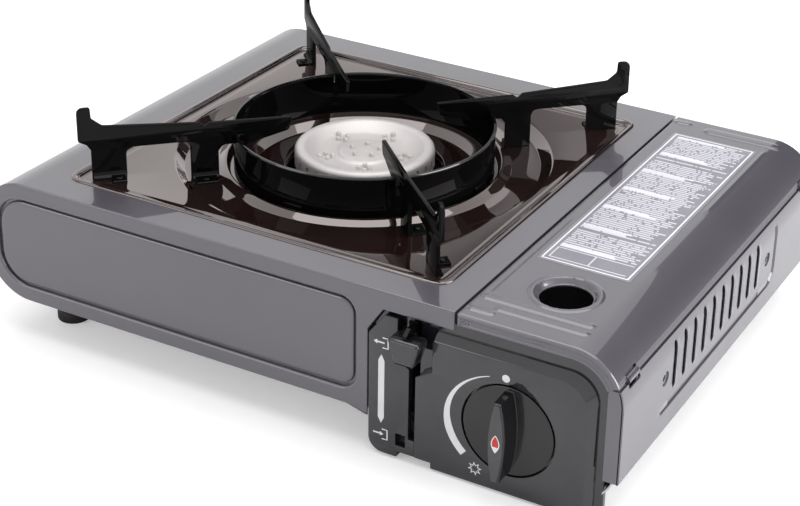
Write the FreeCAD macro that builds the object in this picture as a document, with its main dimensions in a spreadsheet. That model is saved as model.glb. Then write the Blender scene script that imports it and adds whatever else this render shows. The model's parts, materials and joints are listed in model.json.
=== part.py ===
# Tabletop gas stove with a cartridge bay beside the burner, in millimetres.
# X runs along the front from left to right, Y from front to back, Z up.
# The origin is the centre of the outer box at the level of the ground.

import FreeCAD, Part
import Sketcher
import math
import os
import re

SIZES = [
    # casing
    ("body_width", 348.0, "casing, left to right"),
    ("body_depth", 251.0, "casing, front wall to back wall"),
    ("top_height", 86.0, "top face above the ground"),
    ("corner_radius", 25.0, "rounded long edges of the casing"),
    ("sheet", 0.8, "steel sheet of the casing"),
    ("floor_left", 21.5, "underside of the floor below the burner"),
    ("floor_right", 8.0, "underside of the floor below the cartridge"),
    ("side_edge", 24.0, "lower edge of the side panel"),
    ("wrap_edge_up", 1.0, "wrapped left side above the lower corner"),
    ("step_gap", 13.5, "where the floor starts to step down, left of the seam"),
    ("step_run", 6.0, "sideways run of that step"),
    ("seam_inset", 81.5, "seam between the top and the lid, from the right side"),
    ("seam_gap", 1.0, "width of that seam"),
    ("seam_drop", 14.6, "seam between the lid and the side panel below the top"),
    ("seam_up", 0.6, "from the seam's middle up to the lid"),
    ("seam_down", 1.1, "from the seam's middle down to the side panel"),
    ("flange_band", 6.0, "band of the lid's front flange"),
    ("bay_clear", 0.5, "clearance between the lid and the walls"),
    ("partition_gap", 4.9, "heat partition, left of the seam"),
    # front wall
    ("field_margin", 9.0, "margin of the pressed field"),
    ("field_corner", 8.0, "right corners of the pressed field"),
    ("field_gap", 7.5, "pressed field, left of the control panel"),
    ("field_depth", 0.6, "depth of the pressed field"),
    ("joggle", 0.8, "width of the pressed step"),
    # control panel
    ("panel_span", 125.5, "left edge of the control panel from the right side"),
    ("panel_gap", 2.0, "gap between the control panel and the flange round it"),
    ("panel_low", 1.5, "lower edge of the control panel"),
    ("panel_step", 3.0, "raised lower edge beside the lever slot"),
    ("panel_sink", 4.0, "recess of the panel's border behind the front wall"),
    ("panel_wall", 2.5, "wall of the control panel"),
    ("panel_proud", 0.5, "how far the panel's face stands proud"),
    ("face_start", 33.5, "raised face at its top, from the panel's left edge"),
    ("face_inset", 12.5, "right edge of the raised face from the right side"),
    ("face_drop", 14.0, "upper edge of the raised face below the top"),
    ("face_round", 14.0, "upper right corner of the raised face"),
    ("recess_low", 22.0, "lower end of the cap's recess below the slot's end"),
    ("face_bevel", 3.5, "bevel round the raised face"),
    ("strip_width", 15.5, "scale strip beside the cap's recess"),
    ("strip_drop", 9.5, "front wall's edge above the panel, below the top"),
    ("strip_cut", 8.0, "slanted upper corner of the strip, sideways"),
    ("strip_fall", 12.0, "slanted upper corner of the strip, height"),
    ("strip_round", 10.0, "rounded lower corner of the strip"),
    ("slot_half", 1.7, "half width of the lever slot"),
    ("pocket_width", 5.1, "pocket beside the lever slot"),
    ("pocket_height", 6.4, "pocket beside the lever slot, height"),
    ("slot_low", 13.0, "lower end of the lever slot"),
    ("slot_drop", 12.0, "upper end of the lever slot below the top"),
    # knob
    ("knob_inset", 53.6, "knob axis from the right side"),
    ("knob_drop", 51.6, "knob axis below the top"),
    ("knob_radius", 22.4, "knob skirt"),
    ("knob_gap", 0.5, "gap round the knob skirt"),
    ("knob_skirt", 3.0, "thickness of the knob skirt"),
    ("grip_reach", 12.0, "grip in front of the skirt"),
    ("grip_length", 41.0, "grip, end to end"),
    ("grip_width", 9.0, "grip, across its middle"),
    ("mark_length", 8.0, "coloured mark on the grip"),
    ("mark_bow", 5.6, "bow of that mark's edges"),
    ("mark_depth", 0.6, "recess of that mark"),
    ("spindle_radius", 3.0, "valve spindle"),
    ("running_fit", 0.05, "radial clearance of a shaft in its bore"),
    # lever
    ("lever_inset", 102.3, "middle plane of the lever plate from the right side"),
    ("lever_plate", 2.0, "lever plate"),
    ("pivot_back", 31.5, "lever pivot behind the front wall"),
    ("pivot_drop", 45.0, "lever pivot below the top"),
    ("pivot_radius", 2.5, "lever pivot pin"),
    ("lever_half", 7.0, "half width of the lever bracket"),
    ("hub_radius", 6.0, "hub of the lever"),
    ("cap_reach", 10.0, "lever cap in front of the front wall"),
    ("cap_depth", 9.0, "lever cap, front to back"),
    ("cap_width", 16.0, "lever cap, upper edge"),
    ("cap_foot", 9.5, "lever cap, lower edge"),
    ("cap_height", 12.5, "lever cap, height"),
    ("cap_rise", 16.0, "lower edge of the cap above the pivot"),
    ("finger_radius", 2.0, "lever finger pin"),
    ("finger_y", 3.78, "finger pin behind the pivot"),
    ("finger_z", 7.76, "finger pin above the pivot"),
    ("finger_gap", 0.5, "play between the finger and the yoke"),
    # gas train
    ("cart_inset", 45.0, "cartridge axis from the right side"),
    ("cart_radius", 34.0, "standard cartridge"),
    ("cart_lift", 3.0, "cartridge above the floor"),
    ("rail_spread", 18.0, "cartridge rails from the cartridge axis"),
    ("rail_start", 52.0, "front end of the rails behind the front wall"),
    ("block_back", 9.5, "front face of the regulator block behind the front wall"),
    ("block_depth", 13.0, "regulator block, front to back"),
    ("block_half", 28.5, "half width of the regulator block"),
    ("block_low", 20.0, "lower face of the regulator block"),
    ("block_drop", 20.0, "upper face of the regulator block below the top"),
    ("collar_radius", 20.0, "cartridge socket, outside"),
    ("socket_radius", 17.2, "cartridge socket, bore"),
    ("socket_depth", 7.0, "cartridge socket, depth of the bore"),
    ("collar_length", 15.0, "cartridge socket, length"),
    ("nipple_radius", 3.0, "valve nipple in the socket"),
    ("yoke_sheet", 1.6, "sliding yoke"),
    ("yoke_margin", 1.0, "clearance of the yoke round the socket"),
    ("rod_radius", 2.0, "guide rods of the yoke"),
    ("rod_spread", 24.5, "guide rods from the cartridge axis"),
    ("yoke_travel", 7.56, "travel of the yoke"),
    # burner
    ("tray_gap", 14.2, "tray, left of the seam"),
    ("tray_forward", 1.5, "burner and tray centre in front of the casing's middle"),
    ("tray_side", 214.0, "drip tray"),
    ("tray_corner", 5.0, "corner radius of the tray"),
    ("tray_sheet", 0.8, "enamelled sheet of the tray"),
    ("rim_band", 5.0, "flat rim of the tray"),
    ("rim_sink", 1.2, "tray plate below the top face"),
    ("opening_gap", 1.5, "clearance of the tray in the casing's opening"),
    ("well_radius", 97.0, "outer edge of the round well"),
    ("well_slope", 6.0, "sloped wall round the arms' inner seat"),
    ("seat_sink", 6.5, "arms' inner seat below the top face"),
    ("seat_width", 21.0, "arms' inner seat"),
    ("ledge_sink", 9.0, "ring's ledge below the top face"),
    ("ledge_width", 7.0, "ledge of the wind ring"),
    ("bowl_slope", 5.0, "slope from the ledge to the bowl"),
    ("bowl_sink", 12.5, "bowl's floor below the top face"),
    ("hole_clear", 4.9, "burner hole round the burner head"),
    ("lip_height", 4.0, "upturned lip of the burner hole"),
    ("ring_inset", 3.0, "wind ring inside the ledge's outer edge"),
    ("ring_top", 15.6, "wind ring above the top face"),
    ("ring_sheet", 0.8, "wind ring"),
    ("arm_sheet", 2.0, "pan arms"),
    ("arm_tip", 38.0, "inner end of an arm from the burner axis"),
    ("arm_end", 144.0, "outer end of an arm from the burner axis"),
    ("arm_top", 22.5, "upper edge of an arm at its tip"),
    ("arm_rise", 4.0, "rise of that edge to the horn"),
    ("arm_under", 10.6, "lower edge of an arm over the ring"),
    ("arm_notch", 82.0, "small notch of an arm from the burner axis"),
    ("arm_step", 6.0, "step below the horn"),
    ("window_top", 14.0, "top of the window between an arm's feet"),
    ("outer_foot", 17.0, "width of an arm's outer foot"),
    ("horn_top", 36.6, "top of the horn"),
    ("arm_clear", 0.3, "gap between an arm and the ring"),
    ("foot_tab", 8.0, "bent tab of an arm's foot"),
    ("head_radius", 36.1, "burner head"),
    ("head_top", 2.7, "burner head above the top face"),
    ("head_depth", 11.0, "burner head, height"),
    ("cup_radius", 30.0, "burner cup"),
    ("cup_depth", 20.0, "burner cup, height"),
    ("port_count", 32, "gas slots round the burner head"),
    ("port_width", 1.4, "gas slots"),
    ("mix_sink", 25.0, "mixing tube axis below the top face"),
    ("mix_angle", 42.0, "mixing tube, turn from the front"),
    ("mix_start", 27.0, "mixing tube starts this far from the burner axis"),
    ("mix_end", 112.0, "mixing tube ends this far from the burner axis"),
    ("mix_radius", 8.5, "mixing tube, outside"),
    ("mix_wall", 1.0, "mixing tube, wall"),
    ("jet_gap", 5.0, "jet in front of the mixing tube"),
    ("pipe_radius", 3.0, "gas pipe"),
    ("pipe_bend", 12.0, "bend of the gas pipe"),
    ("jet_length", 10.0, "jet"),
    # lid
    ("lid_hole_inset", 47.2, "round hole of the lid from the right side"),
    ("lid_hole_back", 40.0, "round hole of the lid behind the front wall"),
    ("lid_hole_radius", 12.3, "round hole of the lid"),
    ("lid_dish", 15.6, "pressed dish round that hole"),
    ("bead", 0.7, "height of the pressed beads"),
    ("bead_half", 2.0, "half width of the pressed beads"),
    ("label_inset", 27.0, "label plate from the right side"),
    ("label_width", 47.0, "label plate"),
    ("label_front", 64.0, "label plate behind the front wall"),
    ("label_rest", 21.0, "far edge of the label plate in front of the back wall"),
    ("label_sheet", 0.3, "label plate"),
    ("hinge_radius", 2.0, "hinge barrel"),
    ("pin_radius", 1.0, "hinge pin"),
    ("hinge_inset", 0.9, "hinge axis inside the casing's surface"),
    ("hinge_length", 8.0, "hinge barrel, length"),
    ("hinge_front", 14.0, "front hinge behind the front wall"),
    ("hinge_rear", 16.0, "rear hinge in front of the back wall"),
    ("hinge_play", 0.2, "end play of a hinge barrel"),
    # side panel and back wall
    ("vent_count", 10, "louvres in the side panel"),
    ("vent_first", 58.4, "first louvre behind the front wall"),
    ("vent_pitch", 11.8, "louvre spacing"),
    ("vent_length", 24.0, "louvre, lower to upper end"),
    ("vent_drop", 19.0, "upper end of a louvre below the top"),
    ("vent_width", 1.8, "louvre slit"),
    ("lip_out", 0.5, "pressed lip beside a louvre"),
    ("side_hole_front", 48.0, "front screw hole of the side panel"),
    ("side_hole_rear", 180.0, "rear screw hole of the side panel"),
    ("side_hole_drop", 14.5, "screw holes of the side panel below the louvres' ends"),
    ("side_hole_radius", 4.3, "screw holes of the side panel"),
    ("slot_pitch", 12.0, "spacing of the slots in the back wall"),
    ("back_slots", 9, "slots in the back wall"),
    # feet
    ("foot_inset_x", 29.0, "foot centre inside the casing's side"),
    ("foot_inset_y", 28.0, "foot centre inside the front and back walls"),
    ("foot_radius", 8.5, "foot at the ground"),
    # ignition
    ("piezo_gap", 1.7, "igniter axis, right of the seam"),
    ("piezo_drop", 13.5, "igniter axis below the top"),
    ("piezo_radius", 5.5, "igniter body"),
    ("piezo_length", 34.0, "igniter body"),
    ("lead_radius", 1.2, "ignition lead"),
    ("lead_bend", 20.0, "wide bends of the ignition lead"),
    ("lead_turn", 12.0, "bend of the lead behind the igniter"),
    ("lead_start", 7.0, "first bend of the lead"),
    ("lead_end", 5.0, "last bend of the lead"),
    ("probe_radius", 1.8, "ceramic of the spark electrode"),
    ("probe_angle", 60.0, "electrode, turn from the right towards the front"),
    ("spark_radius", 0.7, "spark wire"),
    ("screw_head", 3.2, "head radius of the screws"),
    ("screw_shank", 1.6, "shank radius of the screws"),
]

doc = FreeCAD.newDocument("cartridge_stove")
sheet = doc.addObject("Spreadsheet::Sheet", "Sizes")
for row, (alias, value, note) in enumerate(SIZES, 1):
    sheet.set("A%d" % row, alias)
    sheet.set("B%d" % row, repr(value))
    sheet.set("C%d" % row, note)
    sheet.setAlias("B%d" % row, alias)
doc.recompute()

FUNCTIONS = ("sqrt", "cos", "sin", "min", "max")

# Places that follow from the sizes: what sits on the right keeps its distance
# from the right side, and what sits high keeps its distance from the top.
PLACES = {
    "seam_x": "body_width/2-seam_inset",
    "seam_height": "top_height-seam_drop",
    "step_x": "seam_x-step_gap",
    "partition_x": "seam_x-partition_gap",
    "wrap_edge": "floor_left+corner_radius+wrap_edge_up",
    "panel_left": "body_width/2-panel_span",
    "field_right": "panel_left-field_gap",
    "face_left": "panel_left+face_start",
    "face_right": "body_width/2-face_inset",
    "face_top": "top_height-face_drop",
    "face_step": "slot_high-recess_low",
    "strip_right": "panel_left+strip_width",
    "strip_top": "top_height-strip_drop",
    "slot_left": "lever_x-slot_half",
    "slot_right": "lever_x+slot_half",
    "slot_high": "top_height-slot_drop",
    "knob_x": "body_width/2-knob_inset",
    "knob_z": "top_height-knob_drop",
    "lever_x": "body_width/2-lever_inset",
    "pivot_z": "top_height-pivot_drop",
    "cart_x": "body_width/2-cart_inset",
    "block_left": "cart_x-block_half",
    "block_right": "cart_x+block_half",
    "block_top": "top_height-block_drop",
    "tray_x": "seam_x-tray_gap-tray_side/2",
    "tray_back": "body_depth/2-tray_forward",
    "label_back": "body_depth-label_rest",
    "seat_radius": "well_radius-well_slope",
    "ledge_outer": "seat_radius-seat_width",
    "ledge_inner": "ledge_outer-ledge_width",
    "bowl_radius": "ledge_inner-bowl_slope",
    "hole_radius": "head_radius+hole_clear",
    "ring_radius": "ledge_outer-ring_inset",
    "jet_reach": "mix_end+jet_gap",
    "lid_hole_x": "body_width/2-lid_hole_inset",
    "label_right": "body_width/2-label_inset",
    "label_left": "label_right-label_width",
    "vent_high": "top_height-vent_drop",
    "vent_low": "vent_high-vent_length",
    "side_hole_z": "vent_high-side_hole_drop",
    "piezo_x": "seam_x+piezo_gap",
    "piezo_z": "top_height-piezo_drop",
}


def bound(text):
    """The same expression with every name read from the sheet."""
    def swap(match):
        word = match.group()
        if word in FUNCTIONS:
            return word
        if word in PLACES:
            return "(" + bound(PLACES[word]) + ")"
        return "Sizes." + word

    return re.sub(r"[A-Za-z_]\w*", swap, str(text))


def num(text):
    """The value of an expression over the sheet's names."""
    value = sheet.evalExpression(bound(text))
    return float(getattr(value, "Value", value))


def bind(item, prop, text):
    item.setExpression(prop, bound(text))


def place(item, x="0", y="0", z="0", axis=None, angle=None):
    """Put a piece at x, y, z, turned about an axis."""
    if axis is not None:
        turn = FreeCAD.Rotation(FreeCAD.Vector(*axis), num(angle))
        item.Placement = FreeCAD.Placement(FreeCAD.Vector(0, 0, 0), turn)
        bind(item, "Placement.Rotation.Angle", angle)
    for letter, text in zip("xyz", (x, y, z)):
        bind(item, "Placement.Base." + letter, text)


def origin_part(body, role):
    return [f for f in body.Origin.OriginFeatures if f.Role == role][0]


def new_body(label):
    body = doc.addObject("PartDesign::Body", label)
    body.Label = label
    return body


def sketch_on(body, plane, loops, offset="0", turn="0", shift="0"):
    """A sketch of closed loops, each corner tied to the sheet.

    A loop is ("circle", x, y, r) or a list of corners (x, y) or
    (x, y, r, side), where an arc of radius r runs to the next corner and
    side +1 puts its centre to the left of the way.
    """
    sketch = body.newObject("Sketcher::SketchObject", body.Name + "_outline")
    sketch.AttachmentSupport = (origin_part(body, plane + "_Plane"), [""])
    sketch.MapMode = "FlatFace"
    bind(sketch, "AttachmentOffset.Base.z", offset)
    if shift != "0":
        bind(sketch, "AttachmentOffset.Base.x", shift)
    if turn != "0":
        sketch.AttachmentOffset = FreeCAD.Placement(
            FreeCAD.Vector(0, 0, num(offset)),
            FreeCAD.Rotation(FreeCAD.Vector(0, 0, 1), num(turn)),
        )
    ties = []
    for loop in loops:
        if loop[0] == "circle":
            x, y, r = loop[1:]
            circle = Part.Circle(FreeCAD.Vector(num(x), num(y), 0), FreeCAD.Vector(0, 0, 1), num(r))
            g = sketch.addGeometry(circle, False)
            ties.append((("DistanceX", -1, 1, g, 3), x))
            ties.append((("DistanceY", -1, 1, g, 3), y))
            ties.append((("Radius", g), r))
            continue
        spots = [FreeCAD.Vector(num(c[0]), num(c[1]), 0) for c in loop]
        pieces = []
        for i, corner in enumerate(loop):
            a = spots[i]
            b = spots[(i + 1) % len(spots)]
            if len(corner) == 2:
                g = sketch.addGeometry(Part.LineSegment(a, b), False)
                pieces.append((g, 1, 2))
                continue
            r = num(corner[2])
            side = corner[3]
            half = (b - a) * 0.5
            left = FreeCAD.Vector(-half.y, half.x, 0)
            left.normalize()
            rise = math.sqrt(max(r * r - half.Length ** 2, 0.0))
            centre = a + half + left * (side * rise)
            start = math.atan2(a.y - centre.y, a.x - centre.x)
            end = math.atan2(b.y - centre.y, b.x - centre.x)
            ring = Part.Circle(centre, FreeCAD.Vector(0, 0, 1), r)
            if side > 0:
                g = sketch.addGeometry(Part.ArcOfCircle(ring, start, end), False)
                pieces.append((g, 1, 2))
            else:
                g = sketch.addGeometry(Part.ArcOfCircle(ring, end, start), False)
                pieces.append((g, 2, 1))
            ties.append((("Radius", g), corner[2]))
        for i, corner in enumerate(loop):
            g, first, last = pieces[i]
            before = pieces[i - 1]
            sketch.addConstraint(Sketcher.Constraint("Coincident", before[0], before[2], g, first))
            ties.append((("DistanceX", -1, 1, g, first), corner[0]))
            ties.append((("DistanceY", -1, 1, g, first), corner[1]))
    for what, text in ties:
        index = sketch.addConstraint(Sketcher.Constraint(*what, num(text)))
        bind(sketch, "Constraints[%d]" % index, text)
    return sketch


def slab(body, plane, loops, low, high, cut=False, turn="0"):
    """A prism between two levels across a plane, added or cut away."""
    along = "-1" if plane == "XZ" else "1"
    near, far = (low, high) if plane != "XZ" else (high, low)
    level = far if cut else near
    sketch = sketch_on(body, plane, loops, along + "*(" + level + ")", turn)
    kind = "PartDesign::Pocket" if cut else "PartDesign::Pad"
    feature = body.newObject(kind, body.Name + ("_cut" if cut else "_pad"))
    feature.Profile = sketch
    feature.Type = 0
    bind(feature, "Length", "(" + high + ")-(" + low + ")")
    sketch.Visibility = False
    return feature


def turned(body, plane, loops, cut=False):
    """A shape turned about the upright axis of its sketch."""
    sketch = sketch_on(body, plane, loops)
    kind = "PartDesign::Groove" if cut else "PartDesign::Revolution"
    feature = body.newObject(kind, body.Name + "_turned")
    feature.Profile = sketch
    feature.ReferenceAxis = (sketch, ["V_Axis"])
    feature.Angle = 360
    sketch.Visibility = False
    return feature


def polar(body, feature, count, role="Z_Axis"):
    pattern = body.newObject("PartDesign::PolarPattern", body.Name + "_round")
    pattern.Originals = [feature]
    pattern.Axis = (origin_part(body, role), [""])
    pattern.Angle = 360
    bind(pattern, "Occurrences", count)
    body.Tip = pattern
    return pattern


def linear(body, feature, role, pitch, count):
    pattern = body.newObject("PartDesign::LinearPattern", body.Name + "_row")
    pattern.Originals = [feature]
    pattern.Direction = (origin_part(body, role), [""])
    bind(pattern, "Length", "(" + pitch + ")*(" + count + "-1)")
    bind(pattern, "Occurrences", count)
    body.Tip = pattern
    return pattern


def rect(x1, y1, x2, y2):
    return [(x1, y1), (x2, y1), (x2, y2), (x1, y2)]


def round_rect(x1, y1, x2, y2, r):
    return [
        ("%s+%s" % (x1, r), y1),
        ("%s-%s" % (x2, r), y1, r, 1),
        (x2, "%s+%s" % (y1, r)),
        (x2, "%s-%s" % (y2, r), r, 1),
        ("%s-%s" % (x2, r), y2),
        ("%s+%s" % (x1, r), y2, r, 1),
        (x1, "%s-%s" % (y2, r)),
        (x1, "%s+%s" % (y1, r), r, 1),
    ]


DIRECTIONS = {
    "+X": ((0, 1, 0), 90),
    "-X": ((0, 1, 0), -90),
    "+Y": ((1, 0, 0), -90),
    "-Y": ((1, 0, 0), 90),
    "+Z": ((0, 0, 1), 0),
    "-Z": ((1, 0, 0), 180),
}


def rod(name, radius, length, x, y, z, way):
    """A cylinder from x, y, z along an axis."""
    item = doc.addObject("Part::Cylinder", name)
    bind(item, "Radius", radius)
    bind(item, "Height", length)
    axis, angle = DIRECTIONS[way]
    item.Placement = FreeCAD.Placement(
        FreeCAD.Vector(0, 0, 0), FreeCAD.Rotation(FreeCAD.Vector(*axis), angle)
    )
    for letter, text in zip("xyz", (x, y, z)):
        bind(item, "Placement.Base." + letter, text)
    return item


def block(name, x1, y1, z1, x2, y2, z2):
    """A box between two corners."""
    item = doc.addObject("Part::Box", name)
    bind(item, "Length", "(%s)-(%s)" % (x2, x1))
    bind(item, "Width", "(%s)-(%s)" % (y2, y1))
    bind(item, "Height", "(%s)-(%s)" % (z2, z1))
    for letter, text in zip("xyz", (x1, y1, z1)):
        bind(item, "Placement.Base." + letter, text)
    return item


def cut(label, base, tool):
    item = doc.addObject("Part::Cut", label)
    item.Base = base
    item.Tool = tool
    item.Label = label
    return item


def fuse(label, items):
    item = doc.addObject("Part::MultiFuse", label)
    item.Shapes = items
    item.Refine = True
    item.Label = label
    return item


def group(label, items):
    item = doc.addObject("Part::Compound", label)
    item.Links = items
    item.Label = label
    return item


HW = "(body_width/2)"
NOSE = "max(cap_reach;panel_proud+grip_reach)"
YF = "((%s-body_depth)/2)" % NOSE
YB = "((%s+body_depth)/2)" % NOSE
TOP = "top_height"
RAD = "corner_radius"
CX = "(body_width/2-corner_radius)"
SEAM_L = "(seam_x-seam_gap/2)"
SEAM_R = "(seam_x+seam_gap/2)"
LID_EDGE = "(seam_height+seam_up)"
SIDE_TOP = "(seam_height-seam_down)"
PANEL_R = "(body_width/2-flange_band-panel_gap)"
PANEL_T = "(top_height-flange_band-panel_gap)"
PANEL_ROUND = "(corner_radius-flange_band-panel_gap)"
TRAY_Y = "(%s+tray_back)" % YF
CART_Z = "(floor_right+2*sheet+cart_lift+cart_radius)"
PIVOT_Y = "(%s+pivot_back)" % YF
BLOCK_REAR = "(%s+block_back+block_depth)" % YF
HINGE_X = "(%s+sqrt((corner_radius-hinge_inset)^2-(seam_height-top_height+corner_radius)^2))" % CX


def front(distance):
    """A place behind the front wall."""
    return "(%s+%s)" % (YF, distance)


def edge_x(height, radius):
    """The rounded right edge, or its offset, at a height."""
    return "(%s+sqrt((%s)^2-((%s)-top_height+corner_radius)^2))" % (CX, radius, height)


# Casing

wrap = new_body("top_wrap")
slab(
    wrap,
    "XZ",
    [[
        (SEAM_L, TOP),
        ("-" + CX, TOP, RAD, 1),
        ("-" + HW, "top_height-corner_radius"),
        ("-" + HW, "wrap_edge"),
        ("-%s+sheet" % HW, "wrap_edge"),
        ("-%s+sheet" % HW, "top_height-corner_radius", "corner_radius-sheet", -1),
        ("-" + CX, "top_height-sheet"),
        (SEAM_L + "-sheet", "top_height-sheet"),
        (SEAM_L + "-sheet", "top_height-flange_band"),
        (SEAM_L, "top_height-flange_band"),
    ]],
    YF + "+sheet",
    YB + "-sheet",
)
OPENING = "(tray_side/2-rim_band+opening_gap)"
slab(
    wrap,
    "XY",
    [round_rect(
        "tray_x-" + OPENING,
        TRAY_Y + "-" + OPENING,
        "tray_x+" + OPENING,
        TRAY_Y + "+" + OPENING,
        "tray_corner",
    )],
    "top_height-2*sheet",
    "top_height+sheet",
    cut=True,
)

wall = new_body("front_wall")
slab(
    wall,
    "XZ",
    [[
        (SEAM_L, TOP),
        ("-" + CX, TOP, RAD, 1),
        ("-" + HW, "top_height-corner_radius"),
        ("-" + HW, "floor_left+corner_radius", RAD, 1),
        ("-" + CX, "floor_left"),
        ("panel_left-strip_fall", "floor_left"),
        ("panel_left-bay_clear", "floor_left-panel_step"),
        ("panel_left-bay_clear", "strip_top-strip_fall"),
        ("panel_left-bay_clear+strip_cut", "strip_top"),
        (SEAM_L, "strip_top"),
    ]],
    YF,
    YF + "+sheet",
)


def field(grow):
    """The pressed field of the front wall, or its outline grown."""
    m = "(field_margin-%s)" % grow
    c = "(field_corner+%s)" % grow
    right = "(field_right+%s)" % grow
    return [
        ("-" + CX, "floor_left+" + m),
        (right + "-" + c, "floor_left+" + m, c, 1),
        (right, "floor_left+%s+%s" % (m, c)),
        (right, "top_height-%s-%s" % (m, c), c, 1),
        (right + "-" + c, "top_height-" + m),
        ("-" + CX, "top_height-" + m, "corner_radius-" + m, 1),
        ("-%s+%s" % (HW, m), "top_height-corner_radius"),
        ("-%s+%s" % (HW, m), "floor_left+corner_radius", "corner_radius-" + m, 1),
    ]


slab(wall, "XZ", [field("0")], YF + "-sheet", YF + "+2*sheet", cut=True)
slab(wall, "XZ", [field("joggle")], YF + "+field_depth", YF + "+field_depth+sheet")

back = new_body("back_wall")
BAND = "(flange_band+bay_clear)"
slab(
    back,
    "XZ",
    [[
        (SEAM_L, TOP),
        ("-" + CX, TOP, RAD, 1),
        ("-" + HW, "top_height-corner_radius"),
        ("-" + HW, "floor_left+corner_radius", RAD, 1),
        ("-" + CX, "floor_left"),
        ("step_x", "floor_left"),
        ("step_x+step_run", "floor_right"),
        (CX, "floor_right", RAD, 1),
        (HW, "floor_right+corner_radius"),
        (HW, "top_height-corner_radius", RAD, 1),
        (edge_x(SIDE_TOP, RAD), SIDE_TOP),
        (edge_x(SIDE_TOP, RAD + "-" + BAND), SIDE_TOP, RAD + "-" + BAND, 1),
        (CX, "top_height-" + BAND),
        (SEAM_L, "top_height-" + BAND),
    ]],
    YB + "-sheet",
    YB,
)
slot = slab(
    back,
    "XZ",
    [round_rect("-" + CX + "+20", "vent_low", "-" + CX + "+23", "vent_high", "1.2")],
    YB + "-2*sheet",
    YB + "+sheet",
    cut=True,
)
doc.recompute()
linear(back, slot, "X_Axis", "slot_pitch", "back_slots")

side = new_body("side_panel")
slab(
    side,
    "XZ",
    [[
        (HW, "side_edge"),
        (HW, "top_height-corner_radius", RAD, 1),
        (edge_x(SIDE_TOP, RAD), SIDE_TOP),
        (edge_x(SIDE_TOP, RAD + "-sheet"), SIDE_TOP, RAD + "-sheet", -1),
        (HW + "-sheet", "top_height-corner_radius"),
        (HW + "-sheet", "side_edge"),
    ]],
    YF,
    YB + "-sheet",
)
slab(
    side,
    "XZ",
    [[
        (PANEL_R + "+bay_clear", "side_edge"),
        (HW, "side_edge"),
        (HW, "top_height-corner_radius", RAD, 1),
        (edge_x(SIDE_TOP, RAD), SIDE_TOP),
        (PANEL_R + "+bay_clear", SIDE_TOP),
    ]],
    YF,
    YF + "+sheet",
)
lip = slab(
    side,
    "YZ",
    [round_rect(
        front("vent_first+vent_width/2"), "vent_low",
        front("vent_first+vent_width/2+2.4"), "vent_high", "0.8",
    )],
    HW + "-sheet",
    HW + "+lip_out",
)
doc.recompute()
linear(side, lip, "Y_Axis", "vent_pitch", "vent_count")
louvre = slab(
    side,
    "YZ",
    [round_rect(
        front("vent_first-vent_width/2"), "vent_low",
        front("vent_first+vent_width/2"), "vent_high", "0.8",
    )],
    HW + "-3*sheet",
    HW + "+2*sheet",
    cut=True,
)
doc.recompute()
linear(side, louvre, "Y_Axis", "vent_pitch", "vent_count")
slab(
    side,
    "YZ",
    [
        ("circle", front("side_hole_front"), "side_hole_z", "side_hole_radius"),
        ("circle", front("side_hole_rear"), "side_hole_z", "side_hole_radius"),
    ],
    HW + "-3*sheet",
    HW + "+2*sheet",
    cut=True,
)
GROOVE = "(vent_low-7)"
FAR = "(side_hole_rear+10)"
slab(
    side,
    "YZ",
    [[
        (front("side_hole_front-1"), GROOVE),
        (front(FAR), GROOVE),
        (front(FAR), "vent_high-2"),
        (front(FAR + "-2"), "vent_high-2"),
        (front(FAR + "-2"), GROOVE + "+2"),
        (front("side_hole_front-1"), GROOVE + "+2"),
    ]],
    HW + "-sheet/2",
    HW + "+2*sheet",
    cut=True,
)


def hinge_places():
    """The middles of the two lid hinges."""
    return (front("hinge_front"), "(%s-hinge_rear)" % YB)


LUG = "1.2"
for middle in hinge_places():
    reach = "(hinge_length/2+hinge_play+%s+0.4)" % LUG
    slab(
        side,
        "XZ",
        [rect(HW + "-3*hinge_radius-2", "seam_height-1.6*hinge_radius", HW + "+1", SIDE_TOP + "+1")],
        middle + "-" + reach,
        middle + "+" + reach,
        cut=True,
    )

pan = new_body("base_pan")
slab(
    pan,
    "XZ",
    [[
        ("-%s+sheet" % HW, "wrap_edge+8"),
        ("-%s+sheet" % HW, "floor_left+corner_radius", "corner_radius-sheet", 1),
        ("-" + CX, "floor_left+sheet"),
        ("step_x", "floor_left+sheet"),
        ("step_x+step_run", "floor_right+sheet"),
        (CX, "floor_right+sheet", "corner_radius-sheet", 1),
        (HW + "-sheet", "floor_right+corner_radius"),
        (HW + "-sheet", "side_edge+10"),
        (HW + "-2*sheet", "side_edge+10"),
        (HW + "-2*sheet", "floor_right+corner_radius", "corner_radius-2*sheet", -1),
        (CX, "floor_right+2*sheet"),
        ("step_x+step_run+sheet", "floor_right+2*sheet"),
        ("step_x+sheet", "floor_left+2*sheet"),
        ("-" + CX, "floor_left+2*sheet", "corner_radius-2*sheet", -1),
        ("-%s+2*sheet" % HW, "floor_left+corner_radius"),
        ("-%s+2*sheet" % HW, "wrap_edge+8"),
    ]],
    YF + "+sheet",
    YB + "-sheet",
)
for low, high in ((YF + "+sheet", YF + "+2*sheet"), (YB + "-2*sheet", YB + "-sheet")):
    slab(
        pan,
        "XZ",
        [rect("-" + CX, "floor_left+sheet", "panel_left-strip_fall", "floor_left+7")],
        low,
        high,
    )
for place_y in ("side_hole_front", "side_hole_rear"):
    slab(
        pan,
        "YZ",
        [
            rect(front(place_y + "-7"), "floor_right+corner_radius", front(place_y + "+7"), "side_hole_z+7"),
            ("circle", front(place_y), "side_hole_z", "screw_shank"),
        ],
        HW + "-2*sheet",
        HW + "-sheet",
    )
slab(
    pan,
    "XZ",
    [rect("panel_left-bay_clear", "0", PANEL_R + "+bay_clear", TOP)],
    YF,
    YF + "+panel_sink+panel_wall+bay_clear",
    cut=True,
)
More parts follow.
